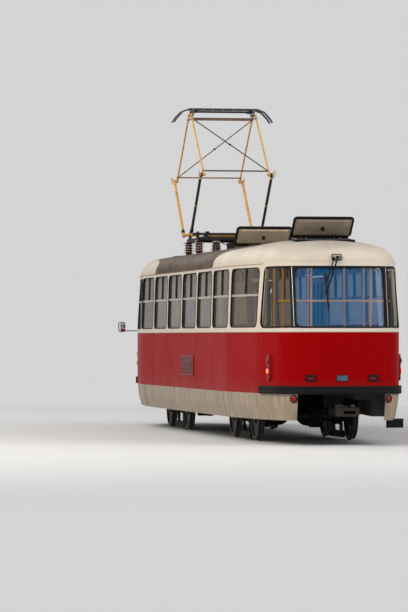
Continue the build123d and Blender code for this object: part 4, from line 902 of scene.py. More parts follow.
for x, y, radius, high in roofKit["posts"]:
    foot = roofKit["foot"]
    count = int((high - foot - 0.03) / 0.03)
    profile = [(radius * 0.9, 0)]
    for k in range(count):
        z = 0.012 + 0.03 * k
        profile += [(radius + 0.002, z), (radius + 0.03, z + 0.006), (radius + 0.031, z + 0.01),
                    (radius + 0.003, z + 0.019)]
    addTurned(profile + [(radius * 0.9, 0.012 + 0.03 * count), (radius * 0.9, 0)], (x, y, foot), 28, 0)
    addTurned([(0, 0.018), (0.02, 0.017), (radius * 0.7, 0.008), (radius + 0.006, 0.003),
               (radius + 0.006, -0.012), (0, -0.012)], (x, y, high), 24, 1)
for k in range(roofKit["ribs"]):
    addPad(roofKit["ribFrom"] + roofKit["ribStep"] * k, 0, 3.04, 3.186, 0.006, 0.168, 0.003, 2)
addBlock((1.44, -0.172, 3.176), (1.81, 0.172, 3.196), 0.006, 2)
addTube([(1.8, 0.06, 3.13), (1.86, 0.1, 3.14), (1.9, 0.22, 3.2), (1.9, 0.33, 3.245)], 0.008, 3, True)
addTube([(1.62, -0.3, 3.165), (1.66, -0.22, 3.19), (1.68, -0.17, 3.17)], 0.007, 3, True)
for x in roofKit["battens"]:
    for y in (-roofKit["battenY"], roofKit["battenY"]):
        z = car["roofTop"] - sagAt(y)
        addPad(x, y, z - 0.004, z + 0.012, 0.3, 0.012, 0.003, 4)
# a plug where a rear pole meets the roof
addTurned([(0, 0.014), (0.02, 0.0125), (0.03, 0.007), (0.034, -0.004), (0.034, -0.02), (0, -0.02)],
          roofKit["plug"], 24, 4)
newPiece("roofGear", "ceramic brightSteel blackPaint armRust roofPaint")
# joints across the roof skin between the domes, and the gutters
gutter = {"z": car["drip"] + 0.002, "out": 0.008, "radius": 0.01, "rearEnd": 6.02, "frontEnd": 5.9}
for x in roofKit["joints"]:
    addTube([(x, y, car["roofTop"] + 0.0005 - sagAt(y)) for y in [-0.95 + 0.19 * k for k in range(11)]],
            0.004, fine=1)
for hand in (1, -1):
    parts = [(-1, hand, runAt(gutter["z"], gutter["rearEnd"]), mid),
             (1, hand, mid, runAt(gutter["z"], gutter["frontEnd"]))]
    addTube(runPath(gutter["z"], gutter["out"], parts), gutter["radius"], fine=1)
newPiece("roofJoints", "roofPaint")
print("roof done")

# Roof skin: one smooth surface over the faceted shoulder, with the hatch openings cut in it
skin = {"lift": 0.004, "thick": 0.003, "inner": [0.05, 0.12, 0.24, 0.38, 0.54, 0.72, 0.9],
        "rows": [(0, 0, 1), (0.075, 0.011, 1.06), (0.145, 0.042, 1.24), (0.205, 0.093, 1.52),
                 (0.248, 0.155, 1.84), (0.275, 0.215, 2.15)],     # rise, inset and lean of the shoulder
        "fillets": (4, 14, 5, 5), "breaks": {0: 4, 5: 3, 20: 5, 26: 8, 32: 16}}


def crownZ(x, y):
    over = abs(x) - car["domeFrom"]
    if over <= 0:
        return car["roofTop"] - sagAt(y)
    return car["roofTop"] - car["dome"] + math.sqrt((car["dome"] - sagAt(y)) ** 2 - over ** 2)


def skinRing(inset, lean, z):
    # the plan's outline at a height, never over the crown; straight runs are divided, fillet steps are not
    points = [p[:2] for p in planQuarter(inset, lean, skin["fillets"])]
    line = [(planLines[0][1] - inset - planLines[0][2] * lean, 0)] + points + [(0, points[-1][1])]
    loop = []
    for i, ((xa, ya), (xb, yb)) in enumerate(zip(line, line[1:])):
        count = skin["breaks"].get(i, 1)
        loop += [(xa + (xb - xa) * k / count, ya + (yb - ya) * k / count) for k in range(count)]
    loop += [line[-1]] + [(-x, y) for x, y in reversed(loop)]
    loop += [(x, -y) for x, y in reversed(loop[1:-1])]
    return [(x, y, min(z, crownZ(x, y) + skin["lift"])) for x, y in loop]


def smoothRow(rows, i, t):
    four = rows[max(i - 1, 0)], rows[i], rows[i + 1], rows[min(i + 2, len(rows) - 1)]
    return [0.5 * (2 * q + (r - p) * t + (2 * p - 5 * q + 4 * r - s) * t * t
                   + (3 * q - p - 3 * r + s) * t ** 3)
            for p, q, r, s in zip(*four)]


part = bmesh.new()
levels = [smoothRow(skin["rows"], i, k / 4) for i in range(5) for k in range(4)] + [skin["rows"][-1]]
rings = []
for rise, inset, lean in levels:
    lift = skin["lift"] * min(1, 0.12 + rise / 0.06)
    rings.append(skinRing(inset - lift, lean, car["drip"] + rise + (skin["lift"] if rise > 0.2 else 0)))
rim = skinRing(skin["rows"][-1][1], skin["rows"][-1][2], 9)
for share in skin["inner"]:
    line = [(x * (1 - 0.1 * share), y * (1 - share)) for x, y, z in rim]
    rings.append([(x, y, crownZ(x, y) + skin["lift"]) for x, y in line])
edgeRings = [edgeLine(part, ring, True) for ring in rings]
for lower, upper in zip(edgeRings, edgeRings[1:]):
    bmesh.ops.bridge_loops(part, edges=lower + upper)
bmesh.ops.contextual_create(part, geom=edgeRings[-1])
for hatch in hatches.values():
    hinge = hatch["hinge"]
    x0, x1, wide = hinge - lid["long"] + 0.03, hinge - 0.03, lid["half"] - 0.03
    for spot, way in (((x0, 0, 0), (1, 0, 0)), ((x1, 0, 0), (1, 0, 0)), ((0, wide, 0), (0, 1, 0)),
                      ((0, -wide, 0), (0, 1, 0))):
        near = []
        for face in part.faces:
            middle = face.calc_center_median()
            if (hinge - 1 < middle.x < hinge + 0.6 and middle.z > 2.95) or len(face.verts) > 8:
                near.append(face)
        geom = list({v for f in near for v in f.verts}) + list({e for f in near for e in f.edges}) + near
        bmesh.ops.bisect_plane(part, geom=geom, dist=1e-5, plane_co=spot, plane_no=way)
    centres = [(f, f.calc_center_median()) for f in part.faces]
    inside = [f for f, c in centres if x0 < c.x < x1 and abs(c.y) < wide and c.z > 2.9]
    bmesh.ops.delete(part, geom=inside, context="FACES")
thicken(part, skin["thick"])
joinPart(part)
newPiece("roofSkin", "roofPaint", angle=50)
print("roof skin done")


# Seats: moulded shells on a post and floor flange
seatShape = {"wide": 0.43, "thick": 0.012, "leftStart": -4.6, "leftStep": 0.76, "leftCount": 12,
             "right": [-3.95, -3.19, -2.43, -1.67, -0.91, 2, 2.76, 3.52], "fromWall": 0.3,
             "backFrom": -0.16,
             "side": [(0.214, 0.408), (0.196, 0.424), (0.15, 0.43), (0.05, 0.42), (-0.06, 0.416),
                      (-0.13, 0.424), (-0.168, 0.452), (-0.19, 0.51), (-0.205, 0.6), (-0.222, 0.7),
                      (-0.238, 0.79), (-0.252, 0.85), (-0.262, 0.868)]}


def bodyHalf(x):
    # half width of the body at a place along it
    turn, out, tip = planLines[3]
    slope = math.radians(turn)
    return 1.25 if abs(x) < 4.38 else (out - abs(x) * math.cos(slope)) / math.sin(slope)


def seatShell(x, y, wide):
    part = bmesh.new()
    rows = []
    for px, pz in seatShape["side"]:
        isBack = px < seatShape["backFrom"]
        narrow = 1 - 0.16 * max(0, ((pz - 0.45) / 0.42 if isBack else 0) - 0.35) ** 1.6
        row = []
        for share in (-0.5, -0.44, -0.3, -0.12, 0.12, 0.3, 0.44, 0.5):
            dish = 0.02 * (1 - (2 * share) ** 2)
            lift = 0.018 * abs(2 * share) ** 5
            spot = (px, share * wide, pz - dish + 0.016 + lift * 0.3)
            if isBack:
                spot = (px + dish * 0.9 - lift, share * wide * narrow, pz)
            row.append((x - 0.004 + spot[0], y + spot[1], floor + min(spot[2], 0.8775)))
        rows.append(edgeLine(part, row))
    for lower, upper in zip(rows, rows[1:]):
        bmesh.ops.bridge_loops(part, edges=lower + upper)
    bmesh.ops.subdivide_edges(part, edges=part.edges[:], cuts=1, use_grid_fill=True, smooth=0)
    thicken(part, seatShape["thick"])
    joinPart(part)


places = [(seatShape["leftStart"] + seatShape["leftStep"] * i, 1) for i in range(seatShape["leftCount"])]
seatFoot = [(0, 0), (0.108, 0), (0.108, 0.005), (0.06, 0.01), (0.036, 0.026), (0.027, 0.05)]
for x, hand in places + [(x, -1) for x in seatShape["right"]]:
    y = hand * (bodyHalf(abs(x) + 0.25) - seatShape["fromWall"])
    seatShell(x, y, seatShape["wide"])
    addRod((x, y, floor + 0.006), (x, y, floor + 0.405), 0.027, 16, 1)
    addTurned(seatFoot, (x, y, floor + 0.001), 20, 1)
    addBlock((x - 0.13, y - 0.12, floor + 0.398), (x + 0.14, y + 0.12, floor + 0.41), 0.004, 1)
    # grab bar along the top of the back
    addTube([(x - dx, y + dy, floor + dz) for dx, dy, dz in ((0.256, -0.15, 0.8), (0.262, -0.15, 0.874),
                                                             (0.262, 0.15, 0.874), (0.256, 0.15, 0.8))],
            0.004, 2)
    for dx in (0.07, -0.07):
        for dy in (0.07, -0.07):
            addRod((x + dx, y + dy, floor + 0.005), (x + dx, y + dy, floor + 0.014), 0.009, 6, 1)
saloonSeats = newPiece("saloonSeats", "seatRed darkSteel railYellow", angle=50)
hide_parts("seats")

# Driver's seat: sprung pedestal, padded squab and back
driver = {"x": 5.7, "y": 0.18, "lean": -8, "rolls": 4, "rollStep": 0.08}
sx, sy = driver["x"], driver["y"]
addTurned([(0, 0), (0.109, 0), (0.109, 0.006), (0.07, 0.012), (0.05, 0.03), (0.03, 0.05)],
          (sx, sy, floor + 0.001), 24, 1)
addTurned([(0, 0)] + [(0.03 - 0.006 * (i % 2), 0.02 * i) for i in range(1, 21)] + [(0, 0.42)],
          (sx, sy, floor + 0.04), 20, 1)
turn = Matrix.Rotation(math.radians(driver["lean"]), 3, "Y")
for x0, x1, wide, z0, z1, bevel, slot, lean, segments in (
        (-0.16, 0.18, 0.17, 0.462, 0.494, 0.008, 1, None, 2),
        (-0.165, 0.22, 0.228, 0.492, 0.536, 0.02, 0, None, 4),
        (-0.232, -0.186, 0.222, 0.56, 0.93, 0.021, 0, turn, 4),
        (-0.226, -0.205, 0.05, 0.5, 0.62, 0.005, 1, None, 2)):
    addBlock((sx + x0, sy - wide, floor + z0), (sx + x1, sy + wide, floor + z1), bevel, slot, lean,
             segments)
for k in range(driver["rolls"]):
    x, z = sx - 0.19 - 0.012 * k, floor + 0.62 + driver["rollStep"] * k
    addRod((x, sy - 0.19, z), (x, sy + 0.19, z), 0.0035, 8, 2)
driverSeat = newPiece("driverSeat", "seatCloth darkSteel rubber", angle=40)
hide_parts("driver_seat")

# Saloon lining: ceiling panels, lamp covers, floor covering and heater ducts
lining = {"drop": 0.012, "lampY": 0.43, "thick": 0.003, "floorFrom": -6.3, "floorTo": 5.14,
          "floorHalf": 0.36, "ribs": 16, "slots": 34,
          "bays": ((-4.62, -3), (-2.98, -1.3), (-0.5, 1.3), (1.32, 3.2), (3.22, 5.1))}
for x0, x1 in lining["bays"]:
    for hand in (1, -1):
        part = bmesh.new()
        line = []
        for k in range(9):
            y = hand * (0.02 + 0.93 * k / 8)
            line.append((x0, y, car["roofTop"] - 0.046 - 0.05 * (k / 8) ** 2 - sagAt(y) - lining["drop"]))
        moved = freshVerts(bmesh.ops.extrude_edge_only(part, edges=edgeLine(part, line)))
        bmesh.ops.translate(part, vec=(x1 - x0, 0, 0), verts=moved)
        thicken(part, lining["thick"])
        joinPart(part)
        y = hand * lining["lampY"]
        z = car["roofTop"] - 0.08 - sagAt(y)
        addBlock((x0 + 0.04, y - 0.055, z - 0.058), (x1 - 0.04, y + 0.055, z - 0.006), 0.018, 1, None, 3)
        addBlock((x0 + 0.03, y - 0.068, z - 0.02), (x1 - 0.03, y + 0.068, z - 0.002), 0.004, 2)
newPiece("saloonCeiling", "innerPanel lampCover aluminium")
x0, x1, half = lining["floorFrom"], lining["floorTo"], lining["floorHalf"]
addBlock((x0, -half, floor), (x1, half, floor + 0.0035), 0.001)
for k in range(lining["ribs"]):
    y = -0.33 + 0.66 * k / (lining["ribs"] - 1)
    addBlock((x0 + 0.02, y - 0.006, floor + 0.003), (x1 - 0.02, y + 0.006, floor + 0.006), 0.001)
addBlock((-4.3, 1.065, floor + 0.001), (4.3, 1.155, floor + 0.2), 0.006, 1)
for k in range(lining["slots"]):
    x = -4.2 + 0.25 * k
    addBlock((x, 1.06, floor + 0.06), (x + 0.19, 1.0655, floor + 0.15), 0.002, 2)
newPiece("floorCovering", "floorVinyl innerPanel darkSteel")
print("saloon done")

# Cab: desk top controls and dials without markings
cab = {"dials": (-0.36, -0.12, 0.12, 0.36), "buttons": 10, "buttonX": 6.47, "buttonZ": 1.59,
       "control": (6.5, 0.47, 1.591), "grip": (6.43, 0.38, 1.686)}
addBlock((6.395, -0.62, 1.58), (6.6, 0.62, 1.592), 0.004)
addBlock((6.62, -0.5, 1.592), (6.645, 0.5, 1.69), 0.006, 0, Matrix.Rotation(math.radians(-24), 3, "Y"))
for y in cab["dials"]:
    addTurned([(0, 0), (0.052, 0), (0.052, 0.01), (0.046, 0.016), (0.044, 0.012), (0, 0.012)],
              (6.617, y, 1.644), 24, 1, (-0.057, 0, 0.026))
    addTurned([(0, 0), (0.043, 0), (0, 0.003)], (6.604, y, 1.65), 24, 3, (-0.044, 0, 0.02))
for k in range(cab["buttons"]):
    x, y, z = cab["buttonX"], -0.54 + 0.12 * k, cab["buttonZ"]
    addRod((x, y, z), (x, y, z + 0.017), 0.011, 14, (1, 4, 5)[k % 3], 0.002)
addTurned([(0, 0), (0.07, 0), (0.07, 0.02), (0.05, 0.035), (0.018, 0.04), (0.014, 0.1), (0, 0.1)],
          cab["control"], 28, 1)
addTube([(6.5, 0.47, 1.685), (6.47, 0.43, 1.7), (6.43, 0.38, 1.702)], 0.01, 1, True)
addTurned([(0, 0), (0.017, 0.003), (0.024, 0.018), (0.017, 0.034), (0, 0.038)], cab["grip"], 18, 1)
newPiece("deskControls", "deskGrey blackPaint chrome blankWhite redLens amberLens")

# Doors: each leaf gets a pane in a rubber, a frame bead, a kick plate and a handle, riding with the leaf
door = {"low": 0.452, "high": 2.602, "paneLow": 1.18, "paneHigh": 2.49, "edge": 0.048, "round": 0.045,
        "postGap": 0.01, "meeting": 0.0133, "wall": 0.051, "leaf": 0.655, "fold": 0.332,
        "gearLow": 2.64, "gearHigh": 2.79, "lampHalf": 0.12, "ribStep": 0.03,
        "steps": ((0.03, 0.33, 0.422), (0.385, 0.59, 0.672))}


def leafBlock(place, low, high, bevel, slot, segments=2):
    # a block in the door's own frame: u along the doorway, v inwards, height
    addBlock(low, high, bevel, slot, None, segments, place)


def leafFrame(place, rect, grow, v0, v1, radius):
    # a flat ring round the pane opening, from the opening's edge inwards by grow
    part = bmesh.new()
    loops = []
    for inset in (0, grow):
        line = roundedLoop(rect, [max(radius - inset, 0.006)] * 4, -inset)
        loops += edgeLine(part, [(u, v0, z) for u, z in line], True)
    bmesh.ops.bridge_loops(part, edges=loops)
    moved = freshVerts(bmesh.ops.extrude_face_region(part, geom=part.faces[:]))
    bmesh.ops.translate(part, vec=(0, v1 - v0, 0), verts=moved)
    bmesh.ops.recalc_face_normals(part, faces=part.faces)
    bmesh.ops.transform(part, matrix=place, verts=part.verts)
    joinPart(part)


for number, (x0, x1) in doorBays.items():
    start, stop = [Vector((x, door["wall"] - bodyHalf(x), 0)) for x in (x0, x1)]
    long = (stop - start).length
    along = (stop - start).normalized()
    place = Matrix((along, Vector((-along.y, along.x, 0)), Vector((0, 0, 1)))).transposed().to_4x4()
    place.translation = start
    leafEnd = long / 2 - door["meeting"] / 2
    fold = door["fold"] + (leafEnd - door["leaf"]) / 2
    for pair, base, flip in (("a", 0, 1), ("b", long, -1)):
        for kind, near, far in (("outer", door["postGap"], fold - 0.001), ("inner", fold + 0.001, leafEnd)):
            u0, u1 = sorted((base + flip * near, base + flip * far))
            p0, p1, low = u0 + door["edge"], u1 - door["edge"], door["low"]
            leafFrame(place, (p0, p1, door["paneLow"], door["paneHigh"]), 0.01, -0.0185, 0.0185,
                      door["round"])
            leafFrame(place, (p0 - 0.009, p1 + 0.009, door["paneLow"] - 0.009, door["paneHigh"] + 0.009),
                      0.013, -0.019, -0.0155, door["round"] + 0.008)
            leafBlock(place, (p0 + 0.002, -0.003, door["paneLow"] + 0.002),
                      (p1 - 0.002, 0.003, door["paneHigh"] - 0.002), 0, 1)
            leafBlock(place, (u0 + 0.026, -0.0178, low + 0.02), (u1 - 0.026, -0.0158, low + 0.15), 0.0008,
                      2)
            for k in range(4):
                u = u0 + 0.036 + (u1 - u0 - 0.072) * k / 3
                for z in (low + 0.03, low + 0.14):
                    leafBlock(place, (u - 0.004, -0.019, z - 0.004), (u + 0.004, -0.0172, z + 0.004), 0.001,
                              2)
            leafBlock(place, (u0 + 0.03, -0.0172, 1.02), (u1 - 0.03, -0.0155, 1.05), 0.0006, 3)
            if kind == "inner":
                edge = base + flip * leafEnd
                first, last = sorted((edge - flip * 0.003, edge + flip * 0.005))
                leafBlock(place, (first, -0.012, low + 0.02), (last, 0.012, door["high"] - 0.02), 0.0035, 0,
                          3)
                grip = edge - flip * 0.026
                addTube([place @ Vector((grip, v, z))
                         for v, z in ((0.016, 0.95), (0.046, 0.97), (0.046, 1.6), (0.016, 1.62))], 0.01, 4)
            else:
                post = base + flip * 0.034
                addRod(place @ Vector((post, 0, 2.6005)), place @ Vector((post, 0, 2.6015)), 0.014, 16, 2)
            name = f"door_{number}{pair}_{kind}"
            newPiece("fittings_" + name, "rubber sideGlass aluminium bodyPaint railYellow", name)
    # gear cover over the doorway, and a lit lamp over the steps
    low, mid, half = door["gearLow"], long / 2, door["lampHalf"]
    leafBlock(place, (0.05, 0.075, low), (long - 0.05, 0.235, door["gearHigh"]), 0.018, 0, 3)
    leafBlock(place, (mid - half, 0.12, low - 0.008), (mid + half, 0.19, low + 0.001), 0.004, 1)
    for u in (0.2, long - 0.2):
        leafBlock(place, (u - 0.012, 0.12, low - 0.004), (u + 0.012, 0.14, low + 0.001), 0.002, 2)
    newPiece(f"doorGear_{number}", "innerPanel lampCover brightSteel")
    # ribbed treads with a bright nosing, lying on each step
    for v0, v1, z in door["steps"]:
        for k in range(int((v1 - v0) / door["ribStep"])):
            v = v0 + door["ribStep"] * k
            leafBlock(place, (0.135, v, z), (long - 0.135, v + 0.016, z + 0.004), 0.0015, 0)
        leafBlock(place, (0.13, v0 - 0.024, z), (long - 0.13, v0 - 0.004, z + 0.005), 0.002, 1)
    newPiece(f"stepTreads_{number}", "floorVinyl railYellow")
print("doors done")

# Bogies: coil springs on the track brakes, bolts, dampers, axle caps and cables, riding with the bogie
bogie = {"x": 3.2, "axle": 0.95, "axleZ": 0.372, "capY": 0.58, "wheelY": 0.7175, "wheelOut": 0.7795,
         "motorY": 0.175, "motorZ": 0.382}
axleCap = [(0, 0), (0.04, 0), (0.038, 0.008), (0.03, 0.012), (0, 0.012)]
for end, name in ((1, "front"), (-1, "rear")):
    cx, axleZ = end * bogie["x"], bogie["axleZ"]
    for hand in (1, -1):
        wy = hand * bogie["wheelY"]
        for way in (1, -1):
            boltRing((cx + way * bogie["axle"], hand * (bogie["capY"] - 0.0005), axleZ), (0, hand, 0),
                     0.078, 8, 1)
            # brake shoe suspension: a coil round each hanger, and a lug on its end
            x = cx + way * 0.28
            addCoil((x, wy, 0.136), (x, wy, 0.268), 0.034, 0.0055, 5, 1, 14)
            addTurned(disc(0.042, 0.006), (x, wy, 0.1325), 18, 0)
            addPad(cx + way * 0.4, wy, 0.045, 0.118, 0.03, 0.038, 0.004)
        for k in range(6):
            addPad(cx - 0.35 + 0.14 * k, wy, 0.034, 0.134, 0.004, 0.0345, 0.001, 1)
        addRod((cx - 0.3, hand * 0.3, 0.6), (cx - 0.62, hand * 0.36, 0.5), 0.022, 16, 1, 0.003)
        addRod((cx - 0.17, hand * 0.28, 0.64), (cx - 0.34, hand * 0.305, 0.588), 0.012, 12, 2)
        # bolts along the beam's top edge
        for k in (0, 1, 2, 6, 7, 8):
            x = cx - 0.48 + 0.12 * k
            addRod((x, hand * 0.505, 0.4465), (x, hand * 0.505, 0.456), 0.009, 6, 1, 0.001)
        # cable to the motor
        addTube([(cx + dx * hand, hand * dy, z) for dx, dy, z in
                 ((0.12, 0.35, 0.71), (0.22, 0.36, 0.66), (0.33, 0.31, 0.6), (0.4, 0.22, 0.553))],
                0.013, 3, True)
    for way in (1, -1):
        my, mz = way * bogie["motorY"], bogie["motorZ"]
        boltRing((cx + way * 0.79, my, mz), (way, 0, 0), 0.07, 6, 1)
        boltRing((cx + way * 0.68, my, mz), (way, 0, 0), 0.135, 10, 1)
        addPad(cx + way * 0.3, my, 0.545, 0.572, 0.07, 0.06, 0.006)
        addTurned([(0, 0), (0.022, 0), (0.022, 0.012), (0.016, 0.018), (0, 0.018)],
                  (cx + way * 0.95, my + 0.05, 0.5405), 6, 1)
    newPiece(f"bogieFittings_{name}", "bogieIron darkSteel chrome rubber", f"bogie_{name}")
    for way, spot in ((1, "leading"), (-1, "trailing")):
        ax = cx + way * bogie["axle"]
        for hand in (1, -1):
            web, hub = [(ax, hand * (bogie["wheelOut"] + dy), axleZ) for dy in (-0.0295, 0.0115)]
            boltRing(web, (0, hand, 0), 0.235, 12, 1, 0.013, 0.012)
            boltRing(hub, (0, hand, 0), 0.066, 6, 1, 0.009, 0.008)
            addTurned(axleCap, hub, 24, 0, (0, hand, 0))
            addTurned(disc(0.272, 0.005, 0.262), web, 40, 1, (0, hand, 0))
        newPiece(f"wheelBolts_{name}_{spot}", "darkSteel brightSteel", f"wheelset_{name}_{spot}")
print("bogies done")

# Couplers: pin, handle and cable sockets on the swinging head
coupler = {"z": 0.502, "headX": 7.2, "pinX": 7.3, "footX": 6.36, "ribFrom": 6.55, "ribStep": 0.11,
           "ribs": 5}
socket = [(0, 0), (0.026, 0), (0.026, 0.012), (0.021, 0.014), (0.021, 0.03), (0, 0.03)]
for end, name in ((1, "front"), (-1, "rear")):
    z, pin = coupler["z"], end * coupler["pinX"]
    for hand in (1, -1):
        y = hand * 0.105
        addPad(end * coupler["headX"], y, z + 0.06, z + 0.105, 0.045, 0.035, 0.006)
        addTurned(socket, (end * 7.246, y, z + 0.083), 20, 1, (end, 0, 0))
        for k in range(3):
            x = end * (7.19 + 0.09 * k)
            addRod((x, hand * 0.135, z + 0.0595), (x, hand * 0.135, z + 0.067), 0.009, 6, 1)
    addPad(end * coupler["footX"], 0, z - 0.05, z + 0.05, 0.02, 0.055, 0.006)
    for k in range(coupler["ribs"]):
        x = end * (coupler["ribFrom"] + coupler["ribStep"] * k)
        addPad(x, 0, z - 0.037, z + 0.037, 0.006, 0.041, 0.002, 1)
    addTube([(pin, 0, z + 0.072), (pin, 0.06, z + 0.085), (end * 7.26, 0.145, z + 0.09)], 0.008, 1)
    addRod((pin, 0, z + 0.0595), (pin, 0, z + 0.09), 0.014, 14, 1)
    newPiece(f"couplerFittings_{name}", "bogieIron darkSteel", f"coupler_{name}")

# Under the floor: latches and hinges of the boxes, conduits with clips
under = {"boxes": ((-1.55, -0.35, 1), (0.15, 1.56, 1), (-1.55, -0.3, -1)), "pipeY": 0.3, "clips": 20,
         "clipFrom": -5.2, "clipStep": 0.55}
for x0, x1, hand in under["boxes"]:
    for k in range(4):
        x = x0 + 0.16 + (x1 - x0 - 0.32) * k / 3
        addPad(x, hand * 1.006, 0.5, 0.53, 0.026, 0.005, 0.003, 1)
        addPad(x, hand * 1.006, 0.722, 0.745, 0.034, 0.005, 0.003)
        y = 1.011 if hand > 0 else -1.001
        addRod((x - 0.03, y, 0.7335), (x + 0.03, y, 0.7335), 0.006, 10, 1)
for hand in (1, -1):
    y = hand * under["pipeY"]
    addTube([(-5.5, y, 0.735), (-4.4, y, 0.735), (-2.1, y, 0.745), (2.1, y, 0.745), (5.5, y, 0.735)], 0.017,
            1)
    for k in range(under["clips"]):
        addPad(under["clipFrom"] + under["clipStep"] * k, y, 0.728, 0.765, 0.012, 0.022, 0.003)
newPiece("underfloorFittings", "bogieIron darkSteel")

# Side vent: a black sheet behind the louvres as painted shade in the gaps, and a screw at each corner and
# joint
vent = {"low": (-1.272, 1.2495, 0.99), "high": (-0.038, 1.2515, 1.284), "screwX": (-1.282, -0.028),
        "screwY": 1.2638, "screwZ": (0.985, 1.137, 1.289)}
addBlock(vent["low"], vent["high"], 0.0005)
for x in vent["screwX"]:
    for z in vent["screwZ"]:
        spot = (x, vent["screwY"], z)
        addTurned([(0, 0), (0.006, 0), (0.005, 0.003), (0, 0.0035)], spot, 12, 1, (0, 1, 0))
newPiece("ventShadeSheet", "blackPaint ventPaint")
print("underfloor done")

# Front: headlamp rings, sign glass, flap with its latch, grab handles, corner lamps, mirrors
front = {"lampY": 0.556, "lampZ": 1.142, "lampX": 7.014, "flap": (-0.225, 0.225, 1.06, 1.47),
         "flapRound": 0.04, "signX": 6.786, "signHalf": 0.572, "signLow": 2.738, "signHigh": 2.936,
         "frame": 0.015}
lens = [(0, 0.0225), (0.02, 0.0222), (0.04, 0.0205), (0.06, 0.0165), (0.078, 0.011), (0.0885, 0.006),
        (0.0885, 0.004)]
lampBezel = [(0.092, 0.004), (0.106, 0.004), (0.109, 0.01), (0.106, 0.0165), (0.098, 0.0175),
             (0.092, 0.014), (0.092, 0.004)]
for hand in (1, -1):
    x, y, z = front["lampX"], hand * front["lampY"], front["lampZ"]
    addTurned(lampBezel, (x - 0.0125, y, z), 48, 0, (1, 0, 0))
    addTurned(lens, (x - 0.013, y, z), 48, 1, (1, 0, 0))
    # flutes of the glass
    for k in range(11):
        off = -0.075 + 0.015 * k
        half = math.sqrt(0.082 ** 2 - off * off)
        rise = [-half + 2 * half * j / 6 for j in range(7)]
        addTube([(x + 0.0098, y + off, z + v) for v in rise], 0.0016, 1, fine=1)
    addRod((x + 0.002, y, z - 0.1085), (x + 0.002, y, z - 0.101), 0.005, 10)
newPiece("headlampRings", "chrome lampGlass")
x, half, low, high, frameWide = [front[key] for key in ("signX", "signHalf", "signLow", "signHigh",
                                                        "frame")]
addBlock((x - 0.0015, -0.555, low + frameWide), (x + 0.0035, 0.555, high - frameWide), 0.002)
for y0, y1, z0, z1 in ((-half, half, high - frameWide, high), (-half, half, low, low + frameWide),
                       (-half, -0.556, low, high), (0.556, half, low, high)):
    addBlock((x, y0, z0), (x + 0.0085, y1, z1), 0.003, 1)
for y in (-0.5, -0.25, 0, 0.25, 0.5):
    addRod((x + 0.004, y, 2.9505), (x + 0.01, y, 2.9505), 0.005, 10, 2)
newPiece("signGlass", "blankWhite blackPaint brightSteel")
addLoops([wallLoop(endSpot, 1, front["flap"], front["flapRound"], out, grow, steps=5) for grow, out in
          ((0, -0.001), (0, 0.0035), (-0.004, 0.0045), (-0.018, 0.0045), (-0.02, 0.003), (-0.02, -0.001))])
for y in (-0.14, 0.14):
    p = endSpot(1, y, front["flap"][3] + 0.006, 0.006)[0]
    addRod(p - Vector((0, 0.03, 0)), p + Vector((0, 0.03, 0)), 0.006, 12, 1)
p, n = endSpot(1, 0, front["flap"][2] + 0.04)[:2]
addTurned([(0, -0.002), (0.02, -0.002), (0.02, 0.008), (0.015, 0.011), (0, 0.011)], p, 22, 1, n)
addBlock(p + n * 0.01 - Vector((0.002, 0.014, 0.003)), p + n * 0.016 + Vector((0.002, 0.014, 0.003)), 0.002,
         1)
handleFoot = [(0, -0.001), (0.018, -0.001), (0.018, 0.004), (0.01, 0.006), (0, 0.006)]
for hand in (1, -1):
    inner, outer = [endSpot(1, hand * y, 1.6) for y in (0.2, 0.52)]
    addTube([inner[0], inner[0] + inner[1] * 0.03, outer[0] + outer[1] * 0.03, outer[0]], 0.008, 2)
    for spot in (inner, outer):
        turnAt(spot, handleFoot, 16, 2)
newPiece("frontFlap", "bodyPaint brightSteel blackPaint")
for hand in (1, -1):
    for z in (1.155, 1.262):
        spot = sideSpot(hand, car["lampX"], z, 0.029)
        turnAt(spot, [(0, 0.02), (0.018, 0.018), (0.03, 0.011), (0.036, 0), (0, 0)], 26, 1)
        turnAt(spot, [(0.036, 0), (0.043, 0), (0.043, 0.006), (0.036, 0.008), (0.036, 0)], 26)
newPiece("frontCornerLenses", "chrome amberLens")
# Mirrors: silvered faces towards the driver, and clamps round the stem of the tall one
mirror = {"tall": ((6.297, -1.462, 2.108), (6.3, -1.338, 2.496)), "stem": (6.31, -1.4),
          "small": ((6.6975, 1.205, 1.702), (6.7, 1.315, 1.858)), "clampZ": (2.52, 2.6)}
addBlock(*mirror["tall"], 0.004)
addBlock(*mirror["small"], 0.003)
for z in mirror["clampZ"]:
    addRod((*mirror["stem"], z), (*mirror["stem"], z + 0.012), 0.016, 14, 1)
newPiece("mirrorFaces", "mirrorGlass blackPaint")
print("front done")

# Inside: the poles get collars and feet, and grab straps hang between them
poles = {"y": 0.62, "x": (-5.6, -4.18, -1.33, -0.13, 1.61, 4.36, 4.85)}
for hand in (1, -1):
    y = hand * poles["y"]
    for x in poles["x"]:
        addTurned([(0, 0), (0.042, 0), (0.042, 0.004), (0.026, 0.01), (0.019, 0.026), (0, 0.026)],
                  (x, y, floor + 0.001), 22, 0)
        addTurned(disc(0.024, 0.03), (x, y, 2.775), 20, 1)
    for x in [-5.2 + 0.62 * k for k in range(16)]:
        if min(abs(x - p) for p in poles["x"]) >= 0.1:
            addTube([(x + dx, y, z) for dx, z in ((0, 2.772), (-0.012, 2.66), (-0.05, 2.6), (0.05, 2.6),
                                                  (0.012, 2.66), (0, 2.772))], 0.007, 2, fine=1)
newPiece("railFittings", "brightSteel darkSteel blackPaint")
print("inside done")

